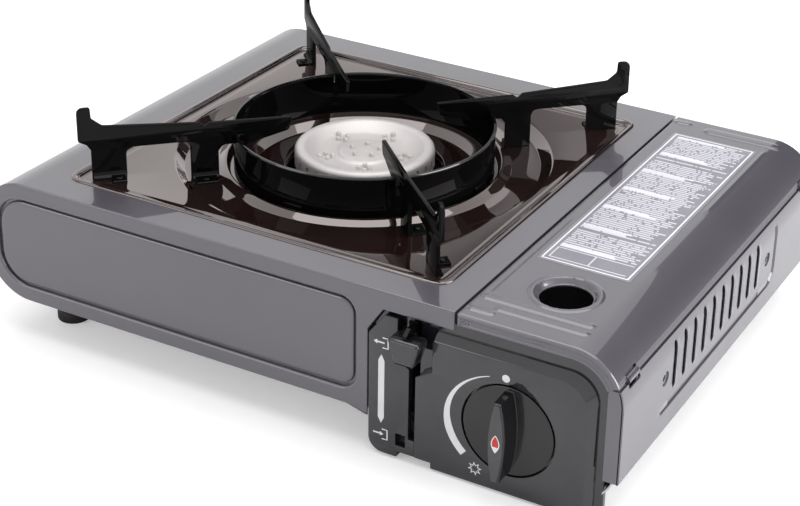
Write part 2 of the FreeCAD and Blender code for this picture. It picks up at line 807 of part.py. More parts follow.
vent = slab(
    pan,
    "XY",
    [round_rect(
        "-" + CX + "+40", front("60"), "-" + CX + "+43", front("100"), "1.4",
    )],
    "floor_left",
    "floor_left+3*sheet",
    cut=True,
)
doc.recompute()
linear(pan, vent, "X_Axis", "slot_pitch", "back_slots")

# Heat partition beside the cartridge bay

plate = block(
    "partition_plate", "partition_x", front("block_back-1"), "floor_right+2*sheet",
    "partition_x+sheet", YB + "-2*sheet", "top_height-sheet",
)
CORNER_X = "(tray_x+(tray_back-block_back-block_depth/2)*cos(mix_angle)/sin(mix_angle))"
PIPE_AT = "(tray_back-(partition_x-tray_x)*sin(mix_angle)/cos(mix_angle))"
openings = [
    block(
        "partition_yoke_slot", "partition_x-2", front("pivot_back+finger_y-finger_radius-finger_gap-yoke_sheet-yoke_travel-1.5"),
        "pivot_z+finger_z-4.5", "partition_x+4",
        front("pivot_back+finger_y-finger_radius-finger_gap+1.5"), "pivot_z+finger_z+8.5",
    ),
    rod("partition_pipe_hole", "pipe_radius+2.2", "12", "partition_x-6", front(PIPE_AT), "top_height-mix_sink", "+X"),
    rod("partition_lead_hole", "lead_radius+3", "12", "partition_x-6", front("64"), "piezo_z-3", "+X"),
]
cut("heat_partition", plate, group("partition_openings", openings))

# Feet

SPOT_X = "(body_width/2-foot_inset_x)"
for label, sign, top in (("left_feet", "-", "floor_left+sheet"), ("right_feet", "", "floor_right+sheet")):
    pair = []
    for y in (front("foot_inset_y"), "(%s-foot_inset_y)" % YB):
        lower = rod(label + "_pad", "foot_radius", "5", sign + SPOT_X, y, "0", "+Z")
        upper = doc.addObject("Part::Cone", label + "_stem")
        bind(upper, "Radius1", "foot_radius-0.6")
        bind(upper, "Radius2", "foot_radius-2")
        bind(upper, "Height", top + "-5")
        for letter, text in zip("xyz", (sign + SPOT_X, y, "5")):
            bind(upper, "Placement.Base." + letter, text)
        pair.append(fuse(label + "_one", [lower, upper]))
    group(label, pair)

# Control panel

panel = new_body("control_panel")
slab(
    panel,
    "XZ",
    [[
        ("panel_left+strip_round", "panel_low"),
        ("strip_right", "panel_low"),
        ("strip_right", "panel_low+panel_step"),
        ("face_left", "panel_low+panel_step"),
        ("face_left", "panel_low"),
        (PANEL_R, "panel_low"),
        (PANEL_R, "top_height-corner_radius", PANEL_ROUND, 1),
        (CX, PANEL_T),
        ("panel_left+strip_cut", PANEL_T),
        ("panel_left", "strip_top-strip_fall"),
        ("panel_left", "panel_low+strip_round", "strip_round", 1),
    ]],
    YF + "+panel_sink",
    YF + "+panel_sink+panel_wall",
)
slab(
    panel,
    "XZ",
    [[
        ("face_left", "panel_low"),
        ("face_right", "panel_low"),
        ("face_right", "face_top-face_round", "face_round", 1),
        ("face_right-face_round", "face_top"),
        ("face_left", "face_top"),
        ("face_left", "face_step"),
        ("slot_right", "face_step-5"),
        ("slot_right", "panel_low+panel_step"),
        ("face_left", "panel_low+panel_step"),
    ]],
    YF + "-panel_proud",
    YF + "+panel_sink+panel_wall/2",
)
slab(
    panel,
    "XZ",
    [[
        ("panel_left+strip_round", "panel_low"),
        ("strip_right", "panel_low"),
        ("strip_right", "panel_low+panel_step"),
        ("slot_right", "panel_low+panel_step"),
        ("slot_right", "face_step-2"),
        ("strip_right", "face_step+2"),
        ("strip_right", "strip_top-2"),
        ("panel_left+strip_cut+1", "strip_top-2"),
        ("panel_left+0.4", "strip_top-strip_fall-1"),
        ("panel_left+0.4", "panel_low+strip_round"),
    ]],
    YF + "-panel_proud",
    YF + "+panel_sink+panel_wall/2",
)
doc.recompute()


def edges_at(shape, level, wanted):
    """Names of the edges that lie across Y at a level and pass a test."""
    names = []
    for i, edge in enumerate(shape.Edges, 1):
        box = edge.BoundBox
        if abs(box.YMin - level) < 1e-3 and abs(box.YMax - level) < 1e-3 and wanted(box):
            names.append("Edge%d" % i)
    return names


def break_edges(body, kind, prop, level, size, wanted=lambda box: True):
    """Chamfer or round the edges that lie across Y at a level."""
    base = body.Tip
    names = edges_at(body.Shape, num(level), wanted)
    feature = body.newObject("PartDesign::" + kind, body.Name + "_soft")
    feature.Base = (base, names)
    bind(feature, prop, size)
    body.Tip = feature


break_edges(
    panel, "Chamfer", "Size", YF + "-panel_proud", "face_bevel",
    lambda box: box.XMax > num("face_right") - 1e-3 or box.ZMin > num("face_top") - 1e-3,
)
slab(
    panel,
    "XZ",
    [("circle", "knob_x", "knob_z", "knob_radius+knob_gap")],
    YF + "-panel_proud-1",
    YF + "-panel_proud+knob_skirt+knob_gap",
    cut=True,
)
slab(
    panel,
    "XZ",
    [
        ("circle", "knob_x", "knob_z", "spindle_radius+knob_gap"),
        rect("slot_left", "slot_low", "slot_right", "slot_high"),
    ],
    YF + "-panel_proud-1",
    YF + "+panel_sink+panel_wall+1",
    cut=True,
)

slab(
    panel,
    "XZ",
    [rect(
        "slot_left-1.5-pocket_width", "slot_low+1.2-pocket_height", "slot_left-1.5", "slot_low+1.2",
    )],
    YF + "-panel_proud-1",
    YF + "+panel_sink",
    cut=True,
)

# Knob

KNOB_FACE = "(-panel_proud)"
knob = new_body("control_knob")
place(knob, "knob_x", YF, "knob_z")
slab(knob, "XZ", [("circle", "0", "0", "knob_radius")], KNOB_FACE, KNOB_FACE + "+knob_skirt")
BLUNT = "(grip_width/5)"
SWELL = "(grip_width/2-grip_width/5)"
BOW = "(((grip_length/2)^2+%s^2)/(2*%s))" % (SWELL, SWELL)
slab(
    knob,
    "XZ",
    [[
        (BLUNT, "-grip_length/2", BOW, 1),
        (BLUNT, "grip_length/2"),
        ("-" + BLUNT, "grip_length/2", BOW, 1),
        ("-" + BLUNT, "-grip_length/2"),
    ]],
    KNOB_FACE + "-grip_reach",
    KNOB_FACE + "+knob_skirt/2",
)
doc.recompute()
break_edges(knob, "Fillet", "Radius", KNOB_FACE + "-grip_reach+" + YF, "min(1.2;grip_width/8)")
slab(
    knob,
    "XZ",
    [("circle", "0", "0", "spindle_radius")],
    KNOB_FACE + "-grip_reach/2",
    KNOB_FACE + "+knob_skirt+1",
    cut=True,
)
MARK = [("0", "-mark_length/2", "mark_bow", 1), ("0", "mark_length/2", "mark_bow", 1)]
slab(
    knob,
    "XZ",
    [MARK],
    KNOB_FACE + "-grip_reach-1",
    KNOB_FACE + "-grip_reach+mark_depth",
    cut=True,
)
mark = new_body("knob_indicator")
place(mark, "knob_x", YF, "knob_z")
slab(mark, "XZ", [MARK], KNOB_FACE + "-grip_reach+mark_depth/4", KNOB_FACE + "-grip_reach+mark_depth")

SPINDLE_IN = "8"
spindle = rod(
    "valve_spindle", "spindle_radius", "panel_proud+grip_reach/2+block_back+" + SPINDLE_IN,
    "knob_x", YF + "-panel_proud-grip_reach/2", "knob_z", "+Y",
)
spindle.Label = "valve_spindle"

# Cartridge locking lever

lever = new_body("locking_lever")
place(lever, "lever_x", PIVOT_Y, "pivot_z")
CAP_BACK = "(-pivot_back-cap_reach+cap_depth)"
CAP_FRONT = "(-pivot_back-cap_reach)"
NECK_A = "(%s+2)" % CAP_FRONT
NECK_B = "(%s-0.8)" % CAP_BACK
CAP_TOP = "(cap_rise+cap_height)"
slab(
    lever,
    "YZ",
    [[
        ("0", "-hub_radius"),
        ("0", "hub_radius"),
        ("-14", "20"),
        ("-26", CAP_TOP + "+4"),
        (NECK_A + "+3.5", CAP_TOP + "+4.5"),
        (NECK_A, CAP_TOP + "+2"),
        (NECK_A, "cap_rise+3.5"),
        (NECK_B, "cap_rise+3.5"),
        (NECK_B, CAP_TOP + "+0.3"),
        (CAP_BACK + "+1.5", CAP_TOP + "+0.3"),
        ("-26", "18"),
        ("-16", "4"),
        ("-8", "-4"),
    ]],
    "-lever_plate/2",
    "lever_plate/2",
)
slab(lever, "YZ", [("circle", "0", "0", "hub_radius")], "-lever_plate/2", "lever_plate/2")
slab(
    lever,
    "YZ",
    [("circle", "finger_y", "finger_z", "2*finger_radius")],
    "-lever_plate/2",
    "lever_plate/2",
)
slab(
    lever,
    "YZ",
    [("circle", "0", "0", "pivot_radius+running_fit")],
    "-lever_plate",
    "lever_plate",
    cut=True,
)
cap = new_body("lever_cap")
place(cap, "lever_x", PIVOT_Y, "pivot_z")
slab(
    cap,
    "XZ",
    [[
        ("-cap_foot/2", "cap_rise"),
        ("cap_foot/2", "cap_rise"),
        ("cap_width/2", CAP_TOP + "-1.5"),
        ("cap_width/2-1", CAP_TOP),
        ("-cap_width/2+1", CAP_TOP),
        ("-cap_width/2", CAP_TOP + "-1.5"),
    ]],
    CAP_FRONT,
    CAP_BACK,
)
doc.recompute()
break_edges(cap, "Chamfer", "Size", CAP_FRONT + "+" + PIVOT_Y, "min(1.2;cap_depth/4)")
slab(
    cap,
    "XY",
    [rect("-lever_plate/2", NECK_A, "lever_plate/2", NECK_B)],
    "cap_rise+3.5",
    CAP_TOP + "+2",
    cut=True,
)
finger = rod(
    "lever_finger", "finger_radius", "9", "lever_x+lever_plate/2",
    PIVOT_Y + "+finger_y", "pivot_z+finger_z", "+X",
)
finger.Label = "lever_finger"
LUG_IN = "(lever_half-1.4)"
pin = rod("lever_pivot_pin", "pivot_radius", "2*lever_half", "lever_x-lever_half", PIVOT_Y, "pivot_z", "+X")
pin.Label = "lever_pivot_pin"
lugs = fuse("lever_bracket_stock", [
    block(
        "lever_bracket_foot", "lever_x-lever_half", PIVOT_Y + "-9", "floor_left+2*sheet",
        "lever_x+lever_half", PIVOT_Y + "+9", "floor_left+4*sheet",
    ),
    block(
        "lever_bracket_left", "lever_x-lever_half", PIVOT_Y + "-6", "floor_left+2*sheet",
        "lever_x-" + LUG_IN, PIVOT_Y + "+6", "pivot_z+pivot_radius+1.5",
    ),
    block(
        "lever_bracket_right", "lever_x+" + LUG_IN, PIVOT_Y + "-6", "floor_left+2*sheet",
        "lever_x+lever_half", PIVOT_Y + "+6", "pivot_z+pivot_radius+1.5",
    ),
])
cut("lever_bracket", lugs, rod(
    "lever_bracket_bore", "pivot_radius", "2*lever_half+4", "lever_x-lever_half-2", PIVOT_Y, "pivot_z", "+X",
))
spacers = []
for name, start in (
    ("left_spacer", "lever_x-" + LUG_IN),
    ("right_spacer", "lever_x+lever_plate/2+running_fit*4"),
):
    length = LUG_IN + "-lever_plate/2-running_fit*4"
    spacers.append(cut(
        name,
        rod(name + "_tube", "pivot_radius+1.5", length, start, PIVOT_Y, "pivot_z", "+X"),
        rod(name + "_bore", "pivot_radius", length, start, PIVOT_Y, "pivot_z", "+X"),
    ))
group("lever_spacers", spacers)

# Sliding yoke that draws the cartridge onto its seat

YOKE_REAR = "(%s+finger_y-finger_radius-finger_gap)" % PIVOT_Y
YOKE_FRONT = "(%s-yoke_sheet)" % YOKE_REAR
yoke = new_body("locking_yoke")
YOKE_HALF = "(rod_spread+rod_radius+2.5)"
slab(
    yoke,
    "XZ",
    [[
        ("cart_x-" + YOKE_HALF, CART_Z + "-collar_radius-yoke_margin-3"),
        ("cart_x+" + YOKE_HALF, CART_Z + "-collar_radius-yoke_margin-3"),
        ("cart_x+" + YOKE_HALF, CART_Z + "+collar_radius+yoke_margin+3"),
        ("cart_x-" + YOKE_HALF, CART_Z + "+collar_radius+yoke_margin+3"),
        ("cart_x-" + YOKE_HALF, "pivot_z+finger_z+7"),
        ("lever_x+lever_plate/2+3", "pivot_z+finger_z+7"),
        ("lever_x+lever_plate/2+3", "pivot_z+finger_z-3"),
        ("cart_x-" + YOKE_HALF, "pivot_z+finger_z-3"),
    ]],
    YOKE_FRONT,
    YOKE_REAR,
)
slab(
    yoke,
    "XZ",
    [
        ("circle", "cart_x", CART_Z, "collar_radius+yoke_margin"),
        ("circle", "cart_x-rod_spread", CART_Z, "rod_radius+running_fit"),
        ("circle", "cart_x+rod_spread", CART_Z, "rod_radius+running_fit"),
    ],
    YOKE_FRONT + "-1",
    YOKE_REAR + "+1",
    cut=True,
)
group("yoke_guide_rods", [
    rod("yoke_rod", "rod_radius", "collar_length+1", "cart_x" + s + "rod_spread", BLOCK_REAR, CART_Z, "+Y")
    for s in ("-", "+")
])

# Gas train

body_block = block(
    "regulator_stock", "block_left", front("block_back"), "block_low",
    "block_right", BLOCK_REAR, "block_top",
)
cut("regulator_block", body_block, rod(
    "regulator_bore", "spindle_radius+running_fit", SPINDLE_IN + "+0.5",
    "knob_x", front("block_back"), "knob_z", "+Y",
))
PIPE_Z = "(top_height-mix_sink)"
socket = new_body("cartridge_socket")
place(socket, "cart_x", BLOCK_REAR, CART_Z)
turned(socket, "XY", [[
    ("nipple_radius", "0"),
    ("collar_radius", "0"),
    ("collar_radius", "collar_length"),
    ("socket_radius", "collar_length"),
    ("socket_radius", "collar_length-socket_depth"),
    ("nipple_radius+4", "collar_length-socket_depth"),
    ("nipple_radius+4", "collar_length-socket_depth-3"),
    ("nipple_radius", "collar_length-socket_depth-3"),
]])
gasket = new_body("socket_gasket")
place(gasket, "cart_x", BLOCK_REAR, CART_Z)
turned(gasket, "XY", [rect(
    "nipple_radius+0.3", "collar_length-socket_depth-3", "nipple_radius+3.7", "collar_length-socket_depth-0.2",
)])
nipple = new_body("valve_nipple")
place(nipple, "cart_x", BLOCK_REAR, CART_Z)
turned(nipple, "XY", [[
    ("0.8", "0"),
    ("nipple_radius", "0"),
    ("nipple_radius", "collar_length-socket_depth-1.5"),
    ("nipple_radius-1", "collar_length-socket_depth-0.2"),
    ("0.8", "collar_length-socket_depth-0.2"),
]])
dome = rod(
    "diaphragm_cover", "block_depth*0.65", "block_low-floor_right-4*sheet",
    "cart_x", front("block_back+block_depth/2"), "floor_right+4*sheet", "+Z",
)
dome.Label = "diaphragm_cover"
posts = [block(
    "regulator_bracket_foot", "block_left", front("block_back+2"), "floor_right+2*sheet",
    CX, front("block_back+block_depth-2"), "floor_right+3*sheet",
)]
for x1, x2 in (("block_left", "block_left+8"), (CX + "-8", CX)):
    posts.append(block(
        "regulator_bracket_leg", x1, front("block_back+2"), "floor_right+2*sheet",
        x2, front("block_back+block_depth-2"), "block_low",
    ))
fuse("regulator_bracket", posts)

mix = new_body("mixing_tube")
place(mix, "tray_x", TRAY_Y, PIPE_Z, (0, 0, 1), "-mix_angle")
slab(mix, "YZ", [("circle", "0", "0", "mix_radius"), ("circle", "0", "0", "mix_radius-mix_wall")], "mix_start", "mix_end-6")
slab(mix, "YZ", [("circle", "0", "0", "mix_radius+2"), ("circle", "0", "0", "mix_radius-mix_wall")], "mix_end-6", "mix_end")
slab(mix, "XY", [rect("mix_end-26", "-mix_radius/2", "mix_end-12", "mix_radius/2")], "0", "mix_radius+2", cut=True)
jet = new_body("gas_jet")
place(jet, "tray_x", TRAY_Y, PIPE_Z, (0, 0, 1), "-mix_angle")
slab(jet, "YZ", [("circle", "0", "0", "1.6")], "jet_reach-4", "jet_reach")
slab(jet, "YZ", [("circle", "0", "0", "pipe_radius+1.4")], "jet_reach", "jet_reach+jet_length")
holder = new_body("jet_holder")
place(holder, "tray_x", TRAY_Y, PIPE_Z, (0, 0, 1), "-mix_angle")
slab(
    holder,
    "YZ",
    [
        rect("-mix_radius-3", "-mix_radius-3", "mix_radius+3", "mix_radius+3"),
        ("circle", "0", "0", "pipe_radius+1.4"),
    ],
    "jet_reach+3",
    "jet_reach+4.6",
)
slab(
    holder,
    "YZ",
    [rect("-mix_radius-3", "floor_left+2*sheet-" + PIPE_Z, "-mix_radius+4", "-mix_radius")],
    "jet_reach+3",
    "jet_reach+4.6",
)


def tube_path(points, bends):
    """Straight runs joined by tangent arcs."""
    edges = []
    start = points[0]
    for i in range(1, len(points) - 1):
        before = (points[i - 1] - points[i]).normalize()
        after = (points[i + 1] - points[i]).normalize()
        turn = math.pi - before.getAngle(after)
        reach = bends[i - 1] * math.tan(turn / 2)
        a = points[i] + before * reach
        b = points[i] + after * reach
        centre_way = (before + after).normalize()
        centre = points[i] + centre_way * (bends[i - 1] / math.cos(turn / 2))
        middle = centre - centre_way * bends[i - 1]
        edges.append(Part.LineSegment(start, a).toShape())
        edges.append(Part.Arc(a, middle, b).toShape())
        start = b
    edges.append(Part.LineSegment(start, points[-1]).toShape())
    return Part.Wire(edges)


def tube(label, points, bends, radius):
    """A round bar along a bent path, placed after its shape is set."""
    spine = tube_path(points, bends)
    ring = Part.Circle(points[0], points[1] - points[0], radius).toShape()
    solid = spine.makePipeShell([Part.Wire([ring])], True, False)
    item = doc.addObject("Part::Feature", label)
    item.Label = label
    item.Shape = solid
    item.Placement = FreeCAD.Placement()
    print(label, "length", round(spine.Length, 1), "bends", [round(b, 1) for b in bends])
    return item


def spot(x, y, z):
    return FreeCAD.Vector(num(x), num(y), num(z))


JET_END = "(jet_reach+jet_length)"
tube(
    "gas_pipe",
    [
        spot("block_left", front("block_back+block_depth/2"), PIPE_Z),
        spot(CORNER_X, front("block_back+block_depth/2"), PIPE_Z),
        spot(
            "tray_x+%s*cos(mix_angle)" % JET_END,
            TRAY_Y + "-%s*sin(mix_angle)" % JET_END,
            PIPE_Z,
        ),
    ],
    [num("pipe_bend")],
    num("pipe_radius"),
)

# Burner

cup = new_body("burner_cup")
place(cup, "tray_x", TRAY_Y, TOP, (0, 0, 1), "-mix_angle")
CUP_TOP = "(head_top-head_depth)"
CUP_LOW = "(%s-cup_depth)" % CUP_TOP
turned(cup, "XZ", [[
    ("0", CUP_LOW),
    ("cup_radius-6", CUP_LOW),
    ("cup_radius", CUP_LOW + "+6"),
    ("cup_radius", CUP_TOP),
    ("cup_radius-2.5", CUP_TOP),
    ("cup_radius-2.5", CUP_LOW + "+7"),
    ("cup_radius-7", CUP_LOW + "+2.5"),
    ("0", CUP_LOW + "+2.5"),
]])
slab(cup, "YZ", [("circle", "0", "-mix_sink", "mix_radius")], "cup_radius-10", "cup_radius+2", cut=True)

head = new_body("burner_head")
place(head, "tray_x", TRAY_Y, TOP)
turned(head, "XZ", [[
    ("0", CUP_TOP + "+4"),
    ("head_radius*0.25", CUP_TOP + "+4"),
    ("head_radius*0.3", CUP_TOP + "+1"),
    ("cup_radius-3", CUP_TOP + "+1"),
    ("cup_radius-3", CUP_TOP + "-2"),
    ("cup_radius-2.5", CUP_TOP + "-2"),
    ("cup_radius-2.5", CUP_TOP),
    ("head_radius-1.5", CUP_TOP),
    ("head_radius", CUP_TOP + "+1.5"),
    ("head_radius", "head_top-2.5"),
    ("head_radius-1", "head_top-0.6"),
    ("head_radius-2.6", "head_top"),
    ("head_radius-5.2", "head_top"),
    ("head_radius-7.6", "head_top-1.6"),
    ("head_radius*0.62", "head_top-4.2"),
    ("head_radius*0.4", "head_top-4.6"),
    ("head_radius*0.38", "head_top-3.4"),
    ("0", "head_top-3.2"),
]])
port = slab(
    head,
    "XY",
    [rect("head_radius-7", "-port_width/2", "head_radius+1", "port_width/2")],
    CUP_TOP + "+2.6",
    "head_top-3.4",
    cut=True,
)
doc.recompute()
polar(head, port, "port_count")
for count, start, reach, radius, low, high in (
    (8, 20, "head_radius*0.52", "1.6", "head_top-5", "head_top-1"),
    (4, 250, "head_radius*0.25", "2.4", "head_top-4.5", "head_top-0.7"),
):
    ring_of = []
    for i in range(count):
        turn = "(%d*360/%d+%d)" % (i, count, start)
        ring_of.append(("circle", "%s*cos(%s)" % (reach, turn), "%s*sin(%s)" % (reach, turn), radius))
    slab(head, "XY", ring_of, low, high)

stand = new_body("burner_bracket")
place(stand, "tray_x", TRAY_Y, TOP)
FLOOR_IN = "(floor_left+2*sheet-top_height)"
LEG = "(cup_radius-7)"
slab(stand, "XZ", [[
    ("-%s-10" % LEG, FLOOR_IN),
    ("-%s+1.6" % LEG, FLOOR_IN),
    ("-%s+1.6" % LEG, CUP_LOW + "-1.6"),
    (LEG + "-1.6", CUP_LOW + "-1.6"),
    (LEG + "-1.6", FLOOR_IN),
    (LEG + "+10", FLOOR_IN),
    (LEG + "+10", FLOOR_IN + "+1.6"),
    (LEG, FLOOR_IN + "+1.6"),
    (LEG, CUP_LOW),
    ("-" + LEG, CUP_LOW),
    ("-" + LEG, FLOOR_IN + "+1.6"),
    ("-%s-10" % LEG, FLOOR_IN + "+1.6"),
]], "-8", "8")
group("bracket_rivets", [
    rod(
        "bracket_rivet", "2.2", "1.2", "tray_x%s(%s+6)" % (s, LEG), TRAY_Y,
        "floor_left+2*sheet+1.6", "+Z",
    )
    for s in ("-", "+")
])

# Spark ignition

PROBE_R = "(head_radius+probe_radius+0.5)"
probe = new_body("electrode_ceramic")
place(probe, "tray_x", TRAY_Y, TOP, (0, 0, 1), "-probe_angle")
slab(probe, "XY", [("circle", PROBE_R, "0", "probe_radius")], "-24", "-5")
clip = new_body("electrode_clip")
place(clip, "tray_x", TRAY_Y, TOP, (0, 0, 1), "-probe_angle")
slab(
    clip,
    "XY",
    [
        rect("cup_radius", "-3.5", PROBE_R + "+probe_radius+1.5", "3.5"),
        ("circle", PROBE_R, "0", "probe_radius"),
    ],
    "-18",
    "-16.6",
)
spark = new_body("spark_pin")
place(spark, "tray_x", TRAY_Y, TOP, (0, 0, 1), "-probe_angle")
slab(spark, "XY", [("circle", PROBE_R, "0", "spark_radius")], "-5", "-0.5")

piezo = rod("piezo_igniter", "piezo_radius", "piezo_length", "piezo_x", front("block_back"), "piezo_z", "+Y")
piezo.Label = "piezo_igniter"
PROBE_X = "(tray_x+%s*cos(probe_angle))" % PROBE_R
PROBE_Y = "(%s-%s*sin(probe_angle))" % (TRAY_Y, PROBE_R)
LEAD_LOW = "(top_height-mix_sink-mix_radius-4-lead_radius)"
tube(
    "ignition_lead",
    [
        spot("piezo_x", front("block_back+piezo_length"), "piezo_z"),
        spot("piezo_x", front("60"), "piezo_z"),
        spot("step_x-2", front("69"), "piezo_z-7"),
        spot("step_x-30", front("74"), LEAD_LOW),
        spot(PROBE_X + "+14", PROBE_Y + "-4", LEAD_LOW),
        spot(PROBE_X, PROBE_Y, LEAD_LOW + "+1"),
        spot(PROBE_X, PROBE_Y, "top_height-24"),
    ],
    [num(bend) for bend in ("lead_start", "lead_turn", "lead_bend", "lead_bend", "lead_end")],
    num("lead_radius"),
)

# Cartridge rails and side screws

RAIL_TOP = "(%s-sqrt(cart_radius^2-(rail_spread-sheet)^2)-bay_clear)" % CART_Z
group("cartridge_rails", [
    block(
        "cartridge_rail", "cart_x%srail_spread-sheet" % s, front("rail_start"), "floor_right+2*sheet",
        "cart_x%srail_spread+sheet" % s, YB + "-22", RAIL_TOP,
    )
    for s in ("-", "+")
])
heads = []
for place_y in ("side_hole_front", "side_hole_rear"):
    at = (front(place_y), "side_hole_z")
    heads.append(fuse("side_screw", [
        rod("side_screw_head", "screw_head", "1.2", HW + "-sheet", at[0], at[1], "+X"),
        rod("side_screw_shank", "screw_shank", "5", HW + "-sheet", at[0], at[1], "-X"),
    ]))
group("side_screws", heads)

# Lid over the cartridge bay

lid = new_body("cartridge_lid")
slab(
    lid,
    "XZ",
    [[
        (SEAM_R, TOP),
        (SEAM_R, "top_height-flange_band"),
        (SEAM_R + "+sheet", "top_height-flange_band"),
        (SEAM_R + "+sheet", "top_height-sheet"),
        (CX, "top_height-sheet", RAD + "-sheet", -1),
        (edge_x(LID_EDGE, RAD + "-sheet"), LID_EDGE),
        (edge_x(LID_EDGE, RAD), LID_EDGE, RAD, 1),
        (CX, TOP),
    ]],
    YF,
    YB,
)


def flange(outer, inner):
    """A band of the lid's end, between two offsets from its outline."""
    return [[
        (SEAM_R, "top_height-" + outer),
        (SEAM_R, "top_height-" + inner),
        (CX, "top_height-" + inner, RAD + "-" + inner, -1),
        (edge_x(LID_EDGE, RAD + "-" + inner), LID_EDGE),
        (edge_x(LID_EDGE, RAD + "-" + outer), LID_EDGE, RAD + "-" + outer, 1),
        (CX, "top_height-" + outer),
    ]]


slab(lid, "XZ", flange("0", "flange_band"), YF, YF + "+sheet")
slab(lid, "XZ", flange("0", "flange_band"), YB + "-sheet", YB)
slab(lid, "XZ", flange("(flange_band-1.6)", "flange_band"), YF + "-lip_out", YF + "+sheet/2")
slab(lid, "XZ", flange("0", "1.6"), YF + "-lip_out", YF + "+sheet/2")
HOLE_Y = front("lid_hole_back")
slab(lid, "XY", [("circle", "lid_hole_x", HOLE_Y, "lid_dish")], "top_height-2*sheet", "top_height+sheet", cut=True)
dish = sketch_on(lid, "XZ", [[
    ("lid_hole_radius", "top_height-2.2-sheet"),
    ("lid_hole_radius+0.8", "top_height-2.2-sheet"),
    ("lid_dish+0.4", "top_height-sheet"),
    ("lid_dish+0.4", TOP),
    ("lid_dish-0.6", TOP),
    ("lid_hole_radius+0.8", "top_height-2.2"),
    ("lid_hole_radius", "top_height-2.2"),
]], "-" + HOLE_Y, shift="lid_hole_x")
dish_ring = lid.newObject("PartDesign::Revolution", "cartridge_lid_dish")
dish_ring.Profile = dish
dish_ring.ReferenceAxis = (dish, ["V_Axis"])
dish_ring.Angle = 360


def pill(x1, y, x2, half):
    """A pressed bead along X with round ends."""
    return round_rect(x1, "(%s-%s)" % (y, half), x2, "(%s+%s)" % (y, half), "(%s*0.96)" % half)


BEADS = [
    pill("lid_hole_x-31", front("19.5"), "lid_hole_x+23", "bead_half"),
    pill("lid_hole_x-20", front("12.5"), "lid_hole_x+24", "bead_half*0.8"),
    pill("seam_x+2.5", front("7.5"), "seam_x+16", "bead_half*1.2"),
    pill("seam_x+1.5", "(%s-7)" % YB, "seam_x+12", "bead_half*1.2"),
    pill("seam_x+20", "(%s-10)" % YB, "seam_x+62", "bead_half*1.8"),
    round_rect(
        "label_right+2.4", front("(label_front+label_back)/2"), "label_right+5", front("label_back"), "1.2",
    ),
]
for bead_loop in BEADS:
    slab(lid, "XY", [bead_loop], "top_height-sheet/2", "top_height+bead")
for middle in hinge_places():
    reach = "(hinge_length/2+2*hinge_play+%s)" % LUG
    slab(
        lid,
        "XZ",
        [rect(HW + "-8", LID_EDGE + "-1", HW + "+1", "seam_height+1.6*hinge_radius")],
        middle + "-" + reach,
        middle + "+" + reach,
        cut=True,
    )

label = block(
    "lid_label", "label_left", front("label_front"), TOP, "label_right", front("label_back"),
    "top_height+label_sheet",
)
label.Label = "lid_label"

barrels = new_body("lid_hinge_barrels")
lugs_body = new_body("hinge_lugs")
TONGUE = "(corner_radius-sheet)"
for middle in hinge_places():
    a = "(%s-hinge_length/2)" % middle
    b = "(%s+hinge_length/2)" % middle
    slab(barrels, "XZ", [("circle", HINGE_X, "seam_height", "hinge_radius")], a, b)
    slab(barrels, "XZ", [[
        (edge_x("(seam_height+1)", TONGUE), "seam_height+1", TONGUE, 1),
        (edge_x("(seam_height+8)", TONGUE), "seam_height+8"),
        (edge_x("(seam_height+8)", TONGUE + "-1.2"), "seam_height+8", TONGUE + "-1.2", -1),
        (edge_x("(seam_height+1)", TONGUE + "-1.2"), "seam_height+1"),
    ]], a, b)
    slab(barrels, "XZ", [("circle", HINGE_X, "seam_height", "pin_radius+running_fit")], a + "-1", b + "+1", cut=True)
    for c, d in (
        (b + "+hinge_play", b + "+hinge_play+" + LUG),
        (a + "-hinge_play-" + LUG, a + "-hinge_play"),
    ):
        slab(lugs_body, "XZ", [("circle", HINGE_X, "seam_height", "hinge_radius")], c, d)
        slab(lugs_body, "XZ", [[
            (edge_x("(seam_height-9)", TONGUE), "seam_height-9", TONGUE, 1),
            (edge_x("(seam_height-0.5)", TONGUE), "seam_height-0.5"),
            (edge_x("(seam_height-0.5)", TONGUE + "-1.6"), "seam_height-0.5", TONGUE + "-1.6", -1),
            (edge_x("(seam_height-9)", TONGUE + "-1.6"), "seam_height-9"),
        ]], c, d)
        slab(lugs_body, "XZ", [("circle", HINGE_X, "seam_height", "pin_radius")], c + "-0.1", d + "+0.1", cut=True)
group("hinge_pins", [
    rod(
        "hinge_pin", "pin_radius", "hinge_length+2*hinge_play+2*" + LUG, HINGE_X,
        "(%s-hinge_length/2-hinge_play-%s)" % (middle, LUG), "seam_height", "+Y",
    )
    for middle in hinge_places()
])

# Pan support: tray, wind ring and four arms lift off together

tray = new_body("drip_tray")
place(tray, "tray_x", TRAY_Y, TOP)
HALF = "(tray_side/2)"
PLATE = "(tray_side/2-rim_band)"
slab(tray, "XY", [
    round_rect("-" + PLATE, "-" + PLATE, PLATE, PLATE, "tray_corner"),
    ("circle", "0", "0", "well_radius"),
], "-rim_sink-tray_sheet", "-rim_sink")
slab(tray, "XY", [
    round_rect("-" + PLATE, "-" + PLATE, PLATE, PLATE, "tray_corner"),
    round_rect(
        "-%s+tray_sheet" % PLATE, "-%s+tray_sheet" % PLATE, PLATE + "-tray_sheet",
        PLATE + "-tray_sheet", "(tray_corner-tray_sheet)",
    ),
], "-rim_sink-tray_sheet", "tray_sheet")
slab(tray, "XY", [
    round_rect("-" + HALF, "-" + HALF, HALF, HALF, "(tray_corner+rim_band/2)"),
    round_rect(
        "-%s+tray_sheet/2" % PLATE, "-%s+tray_sheet/2" % PLATE, PLATE + "-tray_sheet/2",
        PLATE + "-tray_sheet/2", "(tray_corner-tray_sheet/2)",
    ),
], "0", "tray_sheet")
